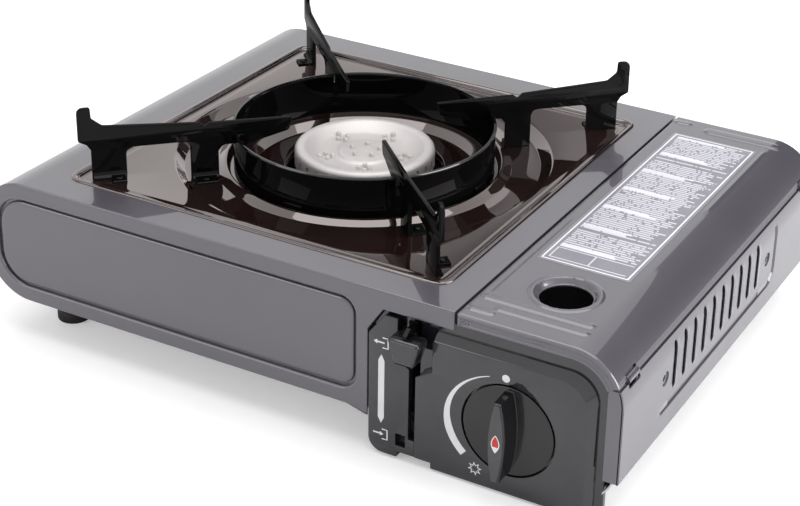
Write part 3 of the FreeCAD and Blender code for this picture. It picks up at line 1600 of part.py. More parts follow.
turned(tray, "XZ", [[
    ("well_radius+0.5", "-rim_sink"),
    ("well_radius-0.5", "-rim_sink"),
    ("seat_radius", "-seat_sink"),
    ("ledge_outer+0.6", "-seat_sink"),
    ("ledge_outer-1", "-ledge_sink"),
    ("ledge_inner", "-ledge_sink"),
    ("bowl_radius", "-bowl_sink"),
    ("hole_radius+1.6", "-bowl_sink"),
    ("hole_radius+tray_sheet", "-bowl_sink+lip_height"),
    ("hole_radius", "-bowl_sink+lip_height"),
    ("hole_radius+0.6", "-bowl_sink-tray_sheet"),
    ("bowl_radius+0.2", "-bowl_sink-tray_sheet"),
    ("ledge_inner+0.2", "-ledge_sink-tray_sheet"),
    ("ledge_outer-0.8", "-ledge_sink-tray_sheet"),
    ("ledge_outer+0.8", "-seat_sink-tray_sheet"),
    ("seat_radius-0.2", "-seat_sink-tray_sheet"),
    ("well_radius-0.8", "-rim_sink-tray_sheet"),
    ("well_radius+0.5", "-rim_sink-tray_sheet"),
]])

ring = new_body("wind_ring")
place(ring, "tray_x", TRAY_Y, TOP)
turned(ring, "XZ", [[
    ("ring_radius-ring_sheet", "-ledge_sink"),
    ("ring_radius", "-ledge_sink"),
    ("ring_radius", "ring_top-1.6"),
    ("ring_radius+0.5", "ring_top-0.8"),
    ("ring_radius", "ring_top"),
    ("ring_radius-ring_sheet", "ring_top"),
    ("ring_radius-ring_sheet-0.3", "ring_top-0.8"),
    ("ring_radius-ring_sheet", "ring_top-1.6"),
]])
NOTCH = "(arm_sheet/2+arm_clear)"
notch = slab(
    ring,
    "XY",
    [rect("ring_radius-4", "-" + NOTCH, "ring_radius+4", NOTCH)],
    "arm_under-arm_clear",
    "ring_top+2",
    cut=True,
    turn="45",
)
doc.recompute()
polar(ring, notch, "4")

SHANK_OUT = "(arm_end-arm_step)"
ARM_NAMES = (
    ("pan_arm_front_right", "-45"), ("pan_arm_back_right", "45"),
    ("pan_arm_back_left", "135"), ("pan_arm_front_left", "225"),
)
for label_text, turn in ARM_NAMES:
    arm = new_body(label_text)
    place(arm, "tray_x", TRAY_Y, TOP, (0, 0, 1), turn)
    slab(arm, "XZ", [[
        ("arm_tip", "arm_top"),
        ("arm_tip+1.5", "arm_under+5"),
        ("ring_radius-9", "arm_under"),
        ("ring_radius+6", "arm_under"),
        ("ledge_outer+5.5", "arm_under-3"),
        ("ledge_outer+5.5", "-seat_sink"),
        ("seat_radius-1.5", "-seat_sink"),
        ("seat_radius-1.5", "window_top-4"),
        ("seat_radius+2.5", "window_top"),
        (SHANK_OUT + "-outer_foot-4", "window_top"),
        (SHANK_OUT + "-outer_foot", "window_top-4"),
        (SHANK_OUT + "-outer_foot", "-rim_sink"),
        (SHANK_OUT, "-rim_sink"),
        (SHANK_OUT, "window_top"),
        (SHANK_OUT + "+2", "window_top+3"),
        ("arm_end", "window_top+5"),
        ("arm_end", "horn_top-2"),
        ("arm_end-3.4", "horn_top", "3.2", 1),
        ("arm_end-6.6", "horn_top-2.4"),
        ("arm_end-8", "arm_top+arm_rise+1.6"),
        ("arm_end-12", "arm_top+arm_rise"),
        ("arm_notch+2.6", "arm_top+arm_rise*0.3"),
        ("arm_notch", "arm_top+arm_rise*0.3-2.4"),
        ("arm_notch-2.6", "arm_top+arm_rise*0.3-0.4"),
    ]], "-arm_sheet/2", "arm_sheet/2")
    slab(arm, "XY", [rect(
        SHANK_OUT + "-outer_foot+1", "-arm_sheet/4", SHANK_OUT + "-foot_tab-1", "arm_sheet/2+foot_tab",
    )], "-rim_sink", "-rim_sink+1.2")
    slab(arm, "XY", [rect(
        "ledge_outer+7", "-arm_sheet/4", "seat_radius-3", "arm_sheet/2+foot_tab",
    )], "-seat_sink", "-seat_sink+1.2")

rivets = []
for label_text, turn in ARM_NAMES:
    for out, sink in (
        (SHANK_OUT + "-outer_foot/2-foot_tab/2", "-rim_sink"),
        ("(ledge_outer+seat_radius)/2+2", "-seat_sink"),
    ):
        across = "(arm_sheet/2+foot_tab*0.55)"
        rivets.append(rod(
            "arm_rivet", "1.9", "1",
            "tray_x+(%s)*cos(%s)-%s*sin(%s)" % (out, turn, across, turn),
            TRAY_Y + "+(%s)*sin(%s)+%s*cos(%s)" % (out, turn, across, turn),
            "top_height+1.2+(" + sink + ")",
            "+Z",
        ))
group("arm_rivets", rivets)

tab = new_body("ring_tabs")
place(tab, "tray_x", TRAY_Y, TOP)
first = slab(tab, "XZ", [[
    ("ring_radius", "-ledge_sink"),
    ("ledge_outer-1.3", "-ledge_sink"),
    ("ledge_outer-1.3", "-ledge_sink+0.8"),
    ("ring_radius+0.8", "-ledge_sink+0.8"),
    ("ring_radius+0.8", "-ledge_sink+6"),
    ("ring_radius", "-ledge_sink+6"),
]], "-5", "5")
doc.recompute()
polar(tab, first, "4")

doc.recompute()

NODES = [
    "base_pan", "top_wrap", "front_wall", "back_wall", "side_panel", "heat_partition",
    "left_feet", "right_feet", "side_screws", "control_panel", "lever_bracket",
    "lever_pivot_pin", "lever_spacers", "regulator_block", "regulator_bracket",
    "diaphragm_cover", "cartridge_socket", "socket_gasket", "valve_nipple",
    "yoke_guide_rods", "gas_pipe", "gas_jet", "jet_holder", "mixing_tube", "burner_cup",
    "burner_head", "burner_bracket", "bracket_rivets",
    "electrode_ceramic", "electrode_clip", "spark_pin", "piezo_igniter", "ignition_lead",
    "cartridge_rails", "hinge_lugs", "hinge_pins",
    "cartridge_lid", "lid_label", "lid_hinge_barrels",
    "control_knob", "knob_indicator", "valve_spindle",
    "locking_lever", "lever_cap", "lever_finger",
    "locking_yoke",
    "drip_tray", "wind_ring", "ring_tabs", "arm_rivets",
] + [name for name, turn in ARM_NAMES]

broken = [i.Name for i in doc.Objects if "Invalid" in i.State or "Error" in i.State]
if broken:
    raise RuntimeError("These did not build: " + ", ".join(broken))

os.makedirs("parts", exist_ok=True)
for name in NODES:
    item = doc.getObjectsByLabel(name)[0]
    shape = item.Shape
    if shape.isNull() or not shape.isValid():
        raise RuntimeError(name + " has no valid shape")
    shape.exportStep("parts/%s.step" % name)
    box = shape.BoundBox
    print("%-22s %2d solid %9.1f mm3  x %7.1f %7.1f  y %7.1f %7.1f  z %6.1f %6.1f" % (
        name, len(shape.Solids), shape.Volume, box.XMin, box.XMax, box.YMin, box.YMax, box.ZMin, box.ZMax,
    ))
print(len(NODES), "pieces")
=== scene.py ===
# %% [markdown]
# # Dressing a tabletop gas stove
# The solids of the stove come from a CAD file and arrive as one frame. This lesson dresses
# that frame: pressed steel gets soft edges, enamel gets its gloss, and small parts get their
# real shapes. Everything is in metres, X to the right, Y to the back and Z up.

# %% Load the frame
import bpy, bmesh, math
from mathutils import Vector, Matrix
from mathutils.geometry import tessellate_polygon
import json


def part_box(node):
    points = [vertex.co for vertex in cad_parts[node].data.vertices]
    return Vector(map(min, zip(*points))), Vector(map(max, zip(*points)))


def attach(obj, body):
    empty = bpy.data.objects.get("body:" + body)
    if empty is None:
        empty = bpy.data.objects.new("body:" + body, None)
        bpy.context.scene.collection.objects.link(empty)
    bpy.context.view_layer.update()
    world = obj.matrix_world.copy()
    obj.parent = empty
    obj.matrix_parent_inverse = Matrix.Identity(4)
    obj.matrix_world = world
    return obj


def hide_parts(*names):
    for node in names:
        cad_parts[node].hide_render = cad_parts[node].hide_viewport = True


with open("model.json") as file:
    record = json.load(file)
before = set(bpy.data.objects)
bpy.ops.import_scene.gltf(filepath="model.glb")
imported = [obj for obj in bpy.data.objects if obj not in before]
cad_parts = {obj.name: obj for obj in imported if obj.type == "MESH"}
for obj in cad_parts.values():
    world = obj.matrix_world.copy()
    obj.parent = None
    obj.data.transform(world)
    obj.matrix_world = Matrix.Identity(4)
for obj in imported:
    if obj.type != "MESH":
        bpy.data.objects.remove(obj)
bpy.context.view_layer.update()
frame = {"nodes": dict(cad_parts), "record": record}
MM = 0.001

# %% [markdown]
# A few places on the stove are used again and again. They are read from the solids, so that
# the looks follow the CAD when a size changes.

# %% Places on the stove, in millimetres
front_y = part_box("front_wall")[0][1] / MM
back_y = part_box("back_wall")[1][1] / MM
top_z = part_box("top_wrap")[1][2] / MM
half_x = -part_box("top_wrap")[0][0] / MM
tray_low, tray_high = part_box("drip_tray")
tray_x = (tray_low[0] + tray_high[0]) / 2 / MM
tray_y = (tray_low[1] + tray_high[1]) / 2 / MM
knob_low, knob_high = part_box("control_knob")
knob_x = (knob_low[0] + knob_high[0]) / 2 / MM
knob_z = (knob_low[2] + knob_high[2]) / 2 / MM
CORNER = 25.0
SHEET = 0.8
print("front", round(front_y, 2), "top", top_z, "tray", round(tray_x, 2), round(tray_y, 2))

# %% [markdown]
# Shader maths reads best as plain arithmetic. The class below wraps one socket of a material
# and turns + - * / into Math nodes, and `node` makes any other kind of node.

# %% Shader helpers
class Wire:
    """A socket's value that can be used in sums."""

    def __init__(self, book, socket):
        self.book = book
        self.socket = socket

    def sum_with(self, other, kind, swap=False):
        pair = (other, self) if swap else (self, other)
        return self.book.node("ShaderNodeMath", {"operation": kind}, {0: pair[0], 1: pair[1]})

    def __add__(self, other): return self.sum_with(other, "ADD")
    def __radd__(self, other): return self.sum_with(other, "ADD", True)
    def __sub__(self, other): return self.sum_with(other, "SUBTRACT")
    def __rsub__(self, other): return self.sum_with(other, "SUBTRACT", True)
    def __mul__(self, other): return self.sum_with(other, "MULTIPLY")
    def __rmul__(self, other): return self.sum_with(other, "MULTIPLY", True)
    def __truediv__(self, other): return self.sum_with(other, "DIVIDE")
    def __pow__(self, other): return self.sum_with(other, "POWER")
    def __gt__(self, other): return self.sum_with(other, "GREATER_THAN")
    def __lt__(self, other): return self.sum_with(other, "LESS_THAN")


class Book:
    """One material and the nodes in it."""

    def __init__(self, name, **constants):
        self.material = bpy.data.materials.new(name)
        self.material.use_nodes = True
        self.tree = self.material.node_tree
        self.shader = self.tree.nodes["Principled BSDF"]
        for socket, value in constants.items():
            self.shader.inputs[socket.replace("_", " ")].default_value = value
        self.where = self.node("ShaderNodeTexCoord", {}, {}, out="Object")

    def node(self, kind, settings, values, out=0):
        made = self.tree.nodes.new(kind)
        for key, value in settings.items():
            if key == "stops":
                ramp = made.color_ramp
                while len(ramp.elements) < len(value):
                    ramp.elements.new(0.5)
                for element, (at, colour) in zip(ramp.elements, value):
                    element.position = at
                    element.color = (*colour, 1) if len(colour) == 3 else (colour[0],) * 3 + (1,)
            else:
                setattr(made, key, value)
        for key, value in values.items():
            if isinstance(value, Wire):
                self.tree.links.new(value.socket, made.inputs[key])
            else:
                made.inputs[key].default_value = value
        return Wire(self, made.outputs[out])

    def noise(self, scale, detail=3.0, rough=0.5, stretch=(1, 1, 1)):
        spot = self.node("ShaderNodeMapping", {}, {"Vector": self.where, "Scale": stretch})
        return self.node(
            "ShaderNodeTexNoise", {}, {"Vector": spot, "Scale": scale, "Detail": detail,
                "Roughness": rough}, out="Fac"
        )

    def axis(self, letter):
        return self.node("ShaderNodeSeparateXYZ", {}, {0: self.where}, out=letter)

    def ramp(self, value, stops):
        return self.node("ShaderNodeValToRGB", {"stops": stops}, {"Fac": value}, out="Color")

    def blend(self, mask, first, second):
        made = self.tree.nodes.new("ShaderNodeMix")
        made.data_type = "RGBA"
        for index, value in ((0, mask), (6, first), (7, second)):
            if isinstance(value, Wire):
                self.tree.links.new(value.socket, made.inputs[index])
            elif index:
                made.inputs[index].default_value = (*value, 1)
            else:
                made.inputs[index].default_value = value
        return Wire(self, made.outputs[2])

    def spread(self, value, low, high, to_low, to_high):
        return self.node(
            "ShaderNodeMapRange", {}, {"Value": value, 1: low, 2: high, 3: to_low, 4: to_high}
        )

    def feed(self, socket, value):
        self.tree.links.new(value.socket, self.shader.inputs[socket])
        return self

    def bump(self, height, distance, strength=1.0, soften=0.0):
        values = {"Height": height, "Distance": distance, "Strength": strength}
        if soften:
            values["Normal"] = self.node("ShaderNodeBevel", {"samples": 4}, {"Radius": soften})
        return self.feed("Normal", self.node("ShaderNodeBump", {}, values))


# %% [markdown]
# **Paint.** The casing is sprayed with a dark grey of a slight violet cast and then a clear
# lacquer. What is seen from the front is mostly the grey base; at a low angle the lacquer
# mirrors the room. So the base stays dark and calm and the coat does the shining. The base
# wanders a little in tone, with fine flakes that hardly show.

# %% Casing paint
def casing_paint():
    book = Book("casing_paint", Metallic=0.25, IOR=1.5, Coat_IOR=1.62, Coat_Roughness=0.02)
    flakes = book.noise(1500, 1, 0.5)
    cloud = book.noise(9, 4, 0.55)
    tone = cloud * 0.85 + flakes * 0.15
    book.feed("Base Color", book.ramp(tone, [(0.3, (0.084, 0.079, 0.094)), (0.7, (0.097, 0.091, 0.107))]))
    book.feed("Roughness", book.spread(book.noise(30, 4), 0.3, 0.7, 0.30, 0.36))
    book.feed("Coat Weight", book.spread(cloud, 0.2, 0.8, 0.93, 1.0))
    book.bump(book.noise(90, 2), 0.000004, 0.5, soften=0.0004)
    return book.material


PAINT = casing_paint()
print("made", PAINT.name)

# %% [markdown]
# **Enamel.** The tray is dark brown vitreous enamel and the ring and arms are black enamel.
# Enamel is glass: smooth, with a faint waviness and a few pinholes, so the gloss comes from
# low roughness and the life from a weak bump.

# %% Enamel
def enamel(name, dark, light, rough, coat, ior, sheen=(1.0, 1.0, 1.0, 1.0), rim=None):
    book = Book(name, Specular_Tint=sheen, Coat_Tint=sheen, IOR=ior, Coat_IOR=1.68, Coat_Roughness=0.015)
    cloud = book.noise(14, 4)
    book.feed("Base Color", book.ramp(cloud, [(0.3, dark), (0.7, light)]))
    book.feed("Roughness", book.spread(book.noise(60, 4), 0.3, 0.7, rough, rough * 1.5))
    weight = book.spread(cloud, 0.2, 0.8, coat * 0.85, coat)
    if rim:
        weight = weight + (book.axis("Z") > rim) * (1 - coat)
    book.feed("Coat Weight", weight)
    book.bump(book.noise(45, 2), 0.00003, 0.4, soften=0.0004)
    return book.material


BROWN_ENAMEL = enamel("brown_enamel", (0.009, 0.0052, 0.005), (0.018, 0.009, 0.008), 0.04, 1.0, 1.78, (1.0,
    0.90, 0.89, 1.0))
BLACK_ENAMEL = enamel("black_enamel", (0.002, 0.002, 0.002), (0.004, 0.004, 0.004), 0.08, 0.2, 1.01)
RING_ENAMEL = enamel("ring_enamel", (0.002, 0.002, 0.002), (0.004, 0.004, 0.004), 0.08, 0.2, 1.01,
    rim=(top_z + 14.2) * MM)
print("made", BROWN_ENAMEL.name, BLACK_ENAMEL.name)

# %% [markdown]
# **Metals.** The burner head is a raw casting with a sandy skin. Brackets, rails and screws
# are plated steel with a drawn grain. The gas parts are brass. One recipe serves all: a
# metallic base, a grain that is long one way, and a roughness that wanders.

# %% Bare metals
def bare_metal(name, dark, light, rough, grain, depth, stretch=(1, 1, 1), metal=1.0):
    book = Book(name, Metallic=metal)
    skin = book.noise(grain, 4, 0.6, stretch)
    cloud = book.noise(35, 3)
    book.feed("Base Color", book.ramp(skin * 0.5 + cloud * 0.5, [(0.3, dark), (0.7, light)]))
    book.feed("Roughness", book.spread(skin, 0.25, 0.75, rough * 0.8, rough * 1.3))
    book.bump(skin, depth, 0.6, soften=0.0003)
    return book.material


CAST_ALLOY = bare_metal("cast_alloy", (0.50, 0.475, 0.465), (0.60, 0.575, 0.565), 0.46, 1500, 0.00004,
    metal=0.5)
PLATED = bare_metal("plated_steel", (0.42, 0.42, 0.43), (0.60, 0.60, 0.61), 0.30, 700, 0.00001, (1, 0.05, 1))
BLACKED = bare_metal("blacked_steel", (0.010, 0.010, 0.011), (0.018, 0.018, 0.020), 0.45, 700, 0.00001)
BRASS = bare_metal("brass", (0.52, 0.36, 0.14), (0.74, 0.55, 0.26), 0.25, 500, 0.00001)
FOIL = bare_metal("label_foil", (0.52, 0.52, 0.56), (0.60, 0.60, 0.645), 0.42, 1200, 0.00001, (0.1, 1, 1))
print("made metals")

# %% [markdown]
# **Plastics, rubber and ceramic.** The control panel and knob are glossy black mouldings,
# with a fine leather of the tool's polish and a little dust. Feet are matt rubber. They share
# a recipe with a wandering roughness and a fine bump.

# %% Mouldings
def moulding(name, dark, light, rough, grain, depth, coat=0.0, soften=0.0004):
    book = Book(name, IOR=1.5, Coat_Roughness=0.04)
    skin = book.noise(grain, 3)
    dust = book.noise(90, 5, 0.7)
    book.feed("Base Color", book.ramp(dust, [(0.35, dark), (0.8, light)]))
    book.feed("Roughness", book.spread(dust, 0.3, 0.8, rough, rough * 1.4))
    if coat:
        book.feed("Coat Weight", book.spread(skin, 0.2, 0.8, coat * 0.8, coat))
    book.bump(skin, depth, 0.4, soften=soften)
    return book.material


GLOSS_BLACK = moulding("black_plastic", (0.010, 0.009, 0.012), (0.016, 0.0145, 0.019), 0.07, 220, 0.000008,
    coat=0.75)
KNOB_BLACK = moulding("knob_plastic", (0.005, 0.005, 0.006), (0.009, 0.009, 0.010), 0.12, 500, 0.000008,
    coat=0.12)
SATIN_GREY = moulding("grip_face", (0.050, 0.048, 0.052), (0.072, 0.069, 0.074), 0.30, 900, 0.00002)
RUBBER = moulding("rubber", (0.004, 0.004, 0.004), (0.008, 0.008, 0.008), 0.62, 1600, 0.00008)
CERAMIC = moulding("ceramic", (0.70, 0.68, 0.64), (0.80, 0.78, 0.74), 0.22, 700, 0.00002)
SLEEVE = moulding("lead_sleeve", (0.60, 0.58, 0.53), (0.72, 0.70, 0.65), 0.45, 700, 0.00003)
IGNITER = moulding("igniter_plastic", (0.030, 0.030, 0.034), (0.045, 0.045, 0.050), 0.40, 800, 0.00003)
WHITE_PRINT = moulding("white_print", (0.70, 0.70, 0.70), (0.80, 0.80, 0.80), 0.40, 1500, 0.00001, soften=0)
RED_MARK = moulding("red_mark", (0.50, 0.02, 0.02), (0.62, 0.04, 0.03), 0.25, 900, 0.00001)
print("made mouldings")

# %% [markdown]
# **Outlines.** Sheet parts start as flat outlines. `rounded` turns a few corners into a smooth
# loop, and `inset` moves a loop inwards. `stack` then lays such loops one above the other and
# closes both ends, which gives plates, pads and pressings a soft edge that catches light.

# %% Outline helpers
def rounded(corners, steps=5):
    """Corners (x, y, radius) become a loop with arcs, anticlockwise."""
    loop = []
    count = len(corners)
    for i, (x, y, radius) in enumerate(corners):
        here = Vector((x, y))
        before = (Vector(corners[i - 1][:2]) - here)
        after = (Vector(corners[(i + 1) % count][:2]) - here)
        if radius <= 0:
            loop.append(here)
            continue
        half = before.angle(after) / 2
        reach = min(radius / math.tan(half), before.length * 0.49, after.length * 0.49)
        radius = reach * math.tan(half)
        centre = here + (before.normalized() + after.normalized()).normalized() * (radius / math.sin(half))
        start = here + before.normalized() * reach - centre
        end = here + after.normalized() * reach - centre
        turn = start.angle_signed(end)
        for k in range(steps + 1):
            arm = start.copy()
            arm.rotate(Matrix.Rotation(-turn * k / steps, 2))
            loop.append(centre + arm)
    area = sum(a.x * b.y - b.x * a.y for a, b in zip(loop, loop[1:] + loop[:1]))
    return loop if area > 0 else loop[::-1]


def box_loop(x1, y1, x2, y2, r, steps=5):
    return rounded([(x1, y1, r), (x2, y1, r), (x2, y2, r), (x1, y2, r)], steps)


def circle_loop(x, y, r, steps=48):
    return [Vector((x + r * math.cos(a), y + r * math.sin(a))) for a in
            (2 * math.pi * k / steps for k in range(steps))]


def inset(loop, distance):
    """The loop moved inwards; a negative distance grows it."""
    if abs(distance) < 1e-9:
        return list(loop)
    moved = []
    for i, here in enumerate(loop):
        before = (here - loop[i - 1])
        after = (loop[(i + 1) % len(loop)] - here)
        if before.length < 1e-9 or after.length < 1e-9:
            moved.append(here.copy())
            continue
        n1 = Vector((-before.y, before.x)).normalized()
        n2 = Vector((-after.y, after.x)).normalized()
        way = n1 + n2
        moved.append(here + way * (distance / max(1 + n1.dot(n2), 0.35)))
    return moved


def finish_mesh(name, points, faces, material, body, node=(), sharp=40, flip=False):
    """A mesh in metres from points in millimetres, shaded, painted and riding on its body."""
    mesh = bpy.data.meshes.new(name)
    mesh.from_pydata([tuple(p * MM for p in point) for point in points], [], faces)
    tidy = bmesh.new()
    tidy.from_mesh(mesh)
    bmesh.ops.remove_doubles(tidy, verts=tidy.verts, dist=0.000002)
    bmesh.ops.recalc_face_normals(tidy, faces=tidy.faces)
    if flip:
        bmesh.ops.reverse_faces(tidy, faces=tidy.faces)
    tidy.to_mesh(mesh)
    tidy.free()
    mesh.shade_smooth()
    mesh.set_sharp_from_angle(angle=math.radians(sharp))
    mesh.materials.append(material)
    made = bpy.data.objects.new(name, mesh)
    bpy.context.collection.objects.link(made)
    if body:
        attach(made, body)
    if node:
        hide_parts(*node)
    return made


# %% [markdown]
# A loop is flat, so each piece says how its plane lies: on the floor, on the front, on the
# side, or turned round the burner. A small function maps (across, up, height) into the room.

# %% Planes
def on_top(u, v, h): return (u, v, h)
def on_front(u, v, h): return (u, -h, v)
def on_side(u, v, h): return (h, u, v)


def about_burner(angle, plane=on_front):
    """The same plane, turned round the burner's axis."""
    c, s = math.cos(math.radians(angle)), math.sin(math.radians(angle))

    def place(u, v, h):
        x, y, z = plane(u, v, h)
        return (tray_x + x * c - y * s, tray_y + x * s + y * c, top_z + z)
    return place


def stack_mesh(loops, levels, place, holes=()):
    """Points and faces of loops laid at levels (inset, height), with matching holes."""
    points, faces = [], []
    ends = []
    for loop, sign in [(loops, 1)] + [(hole, -1) for hole in holes]:
        rows = []
        for distance, height in levels:
            ring = inset(loop, distance * sign)
            rows.append(range(len(points), len(points) + len(ring)))
            points += [place(p.x, p.y, height) for p in ring]
        for low, high in zip(rows, rows[1:]):
            for k in range(len(low)):
                n = (k + 1) % len(low)
                faces.append((low[k], low[n], high[n], high[k]))
        ends.append((rows[0], rows[-1], [inset(loop, levels[0][0] * sign), inset(loop,
            levels[-1][0] * sign)]))
    for which in (0, 1):
        flat = [i for rows in ends for i in rows[which]]
        polygons = [[Vector((p.x, p.y, 0)) for p in rows[2][which]] for rows in ends]
        for a, b, c in tessellate_polygon(polygons):
            faces.append((flat[a], flat[b], flat[c]))
    return points, faces


def stack(name, loop, levels, place, material, body, node=(), holes=(), sharp=40):
    points, faces = stack_mesh(loop, levels, place, holes)
    return finish_mesh(name, points, faces, material, body, node, sharp)


def merge(name, parts, material, body, node=(), sharp=40):
    """Several point and face lists become one mesh."""
    points, faces = [], []
    for some, some_faces in parts:
        base = len(points)
        points += some
        faces += [tuple(i + base for i in face) for face in some_faces]
    return finish_mesh(name, points, faces, material, body, node, sharp)


def lathe_mesh(profile, centre, steps=96, axis="Z"):
    """A closed or open profile (radius, height) turned round an axis through centre."""
    points, faces = [], []
    for k in range(steps):
        a = 2 * math.pi * k / steps
        for r, h in profile:
            u, v = r * math.cos(a), r * math.sin(a)
            spot = {"Z": (u, v, h), "Y": (u, h, v), "X": (h, u, v)}[axis]
            points.append(tuple(s + c for s, c in zip(spot, centre)))
    rows = len(profile)
    for k in range(steps):
        n = (k + 1) % steps
        for j in range(rows):
            i = (j + 1) % rows
            if profile[j][0] < 1e-6 and profile[i][0] < 1e-6:
                continue
            quad = [k * rows + j, k * rows + i, n * rows + i, n * rows + j]
            faces.append(tuple(quad))
    return points, faces


def clean_faces(faces, points):
    """Drops repeated corners where a profile touches the axis."""
    kept = []
    for face in faces:
        ring = []
        for i in face:
            if not any((Vector(points[i]) - Vector(points[j])).length < 1e-6 for j in ring):
                ring.append(i)
        if len(ring) > 2:
            kept.append(tuple(ring))
    return kept


def lathe(name, profile, centre, material, body, node=(), steps=96, axis="Z", sharp=40):
    points, faces = lathe_mesh(profile, centre, steps, axis)
    return finish_mesh(name, points, clean_faces(faces, points), material, body, node, sharp)


print("helpers ready")

# %% [markdown]
# **View and light.** The camera stands in front of the right corner and looks down a little.
# Its lens and shift were worked out from the edges of the tray, ring and knob, whose real
# places are known. The light is a plain studio: large soft boxes and a white room.

# %% Camera
def place_camera():
    lens = bpy.data.cameras.new("camera")
    lens.sensor_width = 36.0
    lens.lens = 83.04
    lens.shift_x = -0.1469
    lens.shift_y = -0.1197
    azimuth, elevation, roll = (math.radians(v) for v in (25.9, 24.86, 2.55))
    back = Vector((math.sin(azimuth) * math.cos(elevation), -math.cos(azimuth) * math.cos(elevation),
        math.sin(elevation)))
    right = Vector((math.cos(azimuth), math.sin(azimuth), 0))
    up = back.cross(right)
    rolled = (right * math.cos(roll) + up * math.sin(roll), up * math.cos(roll) - right * math.sin(roll))
    turn = Matrix((rolled[0], rolled[1], back)).transposed().to_4x4()
    camera = bpy.data.objects.new("camera", lens)
    camera.matrix_world = Matrix.Translation(Vector((tray_x + 448.0, tray_y - 742.4, 485.5)) * MM) @ turn
    bpy.context.collection.objects.link(camera)
    bpy.context.scene.camera = camera
    lens.clip_start = 0.01
    return camera


camera = place_camera()
bpy.context.scene.view_settings.view_transform = "Standard"
print("camera at", [round(v, 3) for v in camera.location])


# %% Floor, room, soft boxes and mirror-only sheets of painted reflection shade
def soft_box(name, spot, aim, size, power, tint=(1, 1, 1)):
    lamp = bpy.data.lights.new(name, "AREA")
    lamp.shape = "RECTANGLE"
    lamp.size, lamp.size_y = size
    lamp.energy = power
    lamp.color = tint
    made = bpy.data.objects.new(name, lamp)
    made.location = spot
    made.rotation_euler = (Vector(aim) - Vector(spot)).to_track_quat("-Z", "Y").to_euler()
    bpy.context.collection.objects.link(made)
    return made


def seen_through(tree, seen, unseen):
    """A colour that the camera and mirrors see as one thing and soft light as another."""
    path = tree.nodes.new("ShaderNodeLightPath")
    add = tree.nodes.new("ShaderNodeMath")
    add.operation = "ADD"
    add.use_clamp = True
    clear = tree.nodes.new("ShaderNodeMath")
    clear.operation = "ADD"
    tree.links.new(path.outputs["Is Glossy Ray"], clear.inputs[0])
    tree.links.new(path.outputs["Is Transmission Ray"], clear.inputs[1])
    tree.links.new(path.outputs["Is Camera Ray"], add.inputs[0])
    tree.links.new(clear.outputs[0], add.inputs[1])
    mix = tree.nodes.new("ShaderNodeMix")
    mix.data_type = "RGBA"
    tree.links.new(add.outputs[0], mix.inputs[0])
    mix.inputs[6].default_value = (*unseen, 1)
    mix.inputs[7].default_value = (*seen, 1)
    return mix.outputs[2]


def make_room():
    world = bpy.data.worlds.new("room")
    bpy.context.scene.world = world
    world.use_nodes = True
    tree = world.node_tree
    tree.links.new(seen_through(tree, (1, 1, 1), (0.62, 0.61, 0.63)),
        tree.nodes["Background"].inputs["Color"])
    mesh = bpy.data.meshes.new("floor")
    mesh.from_pydata([(-6, -6, 0), (6, -6, 0), (6, 6, 0), (-6, 6, 0)], [], [(0, 1, 2, 3)])
    floor = bpy.data.objects.new("floor", mesh)
    bpy.context.collection.objects.link(floor)
    book = Book("floor_paint", Roughness=0.9, Emission_Strength=1.0)
    book.feed("Base Color", book.ramp(book.noise(3, 2), [(0.3, (0.86, 0.86, 0.86)), (0.7, (0.88, 0.88,
        0.88))]))
    seen = book.node("ShaderNodeLightPath", {}, {}, out="Is Camera Ray")
    book.feed("Emission Color", book.blend(seen, (0.0, 0.0, 0.0), (0.30, 0.30, 0.30)))
    mesh.materials.append(book.material)
    return floor


def dark_card(name, corners, dark, light):
    """A dark sheet that only shows in mirror reflections: it puts painted shade into them, and its noise adds a painted
    sheen.
    """
    mesh = bpy.data.meshes.new(name)
    mesh.from_pydata(corners, [], [(0, 1, 2, 3)])
    board = bpy.data.objects.new(name, mesh)
    bpy.context.collection.objects.link(board)
    book = Book(name + "_felt", Roughness=0.95)
    book.feed("Base Color", book.ramp(book.noise(4, 2), [(0.35, (dark,)), (0.7, (light,))]))
    mesh.materials.append(book.material)
    board.visible_camera = board.visible_diffuse = board.visible_shadow = False
    return board


def far_corners(azimuth, elevation, distance, width, height):
    a, e = math.radians(azimuth), math.radians(elevation)
    spot = Vector((math.sin(a) * math.cos(e), math.cos(a) * math.cos(e), math.sin(e))) * distance
    turn = (-spot).to_track_quat("Z", "Y")
    return [spot + turn @ Vector((x * width / 2, y * height / 2, 0)) for x, y in ((-1, -1), (1, -1), (1, 1),
        (-1, 1))]


def mirrored_corners(spots, level, reach):
    """Where the view of flat spots lands after it is mirrored there, a given way further on."""
    eye = bpy.context.scene.camera.location
    below = Vector((eye.x, eye.y, 2 * level - eye.z))
    return [Vector((x, y, level)) + (Vector((x, y, level)) - below).normalized() * reach for x, y in spots]


make_room()
# A dark board far at the back right, seen only in mirrors: painted shade in the glossy reflections on the lid and
# casing.
dark_card("board_back_right", far_corners(22, 21, 3.0, 3.2, 1.9), 0.04, 0.05)
# A dark sheet over the tray, seen only in mirrors, puts painted shade into the tray's reflection, and its noise a
# painted soft sheen.
reach = (tray_high[0] - tray_low[0]) / 2 - 3.5 * MM
spots = [(tray_x * MM + i * reach, tray_y * MM + j * reach) for i, j in ((0.15, -1), (1, -1), (1, 1), (0.15,
    1))]
dark_card("cloth_over_tray", mirrored_corners(spots, top_z * MM, 0.4), 0.10, 0.45)
soft_box("overhead", (0.0, 0.1, 1.6), (0, 0, 0), (1.6, 1.6), 16)
soft_box("right_side", (1.7, 0.2, 0.55), (0, 0, 0.05), (1.2, 1.0), 24)
soft_box("front_left", (-1.1, -1.6, 0.9), (0, 0, 0.05), (1.0, 0.8), 6)

# %% [markdown]
# **Lofts and cutters.** Some pieces change their outline on the way up, such as a panel with
# a bevel on two sides only. `loft` joins outlines that have the same number of points.
# `carve` takes holes out of a finished piece, the way a punch does.

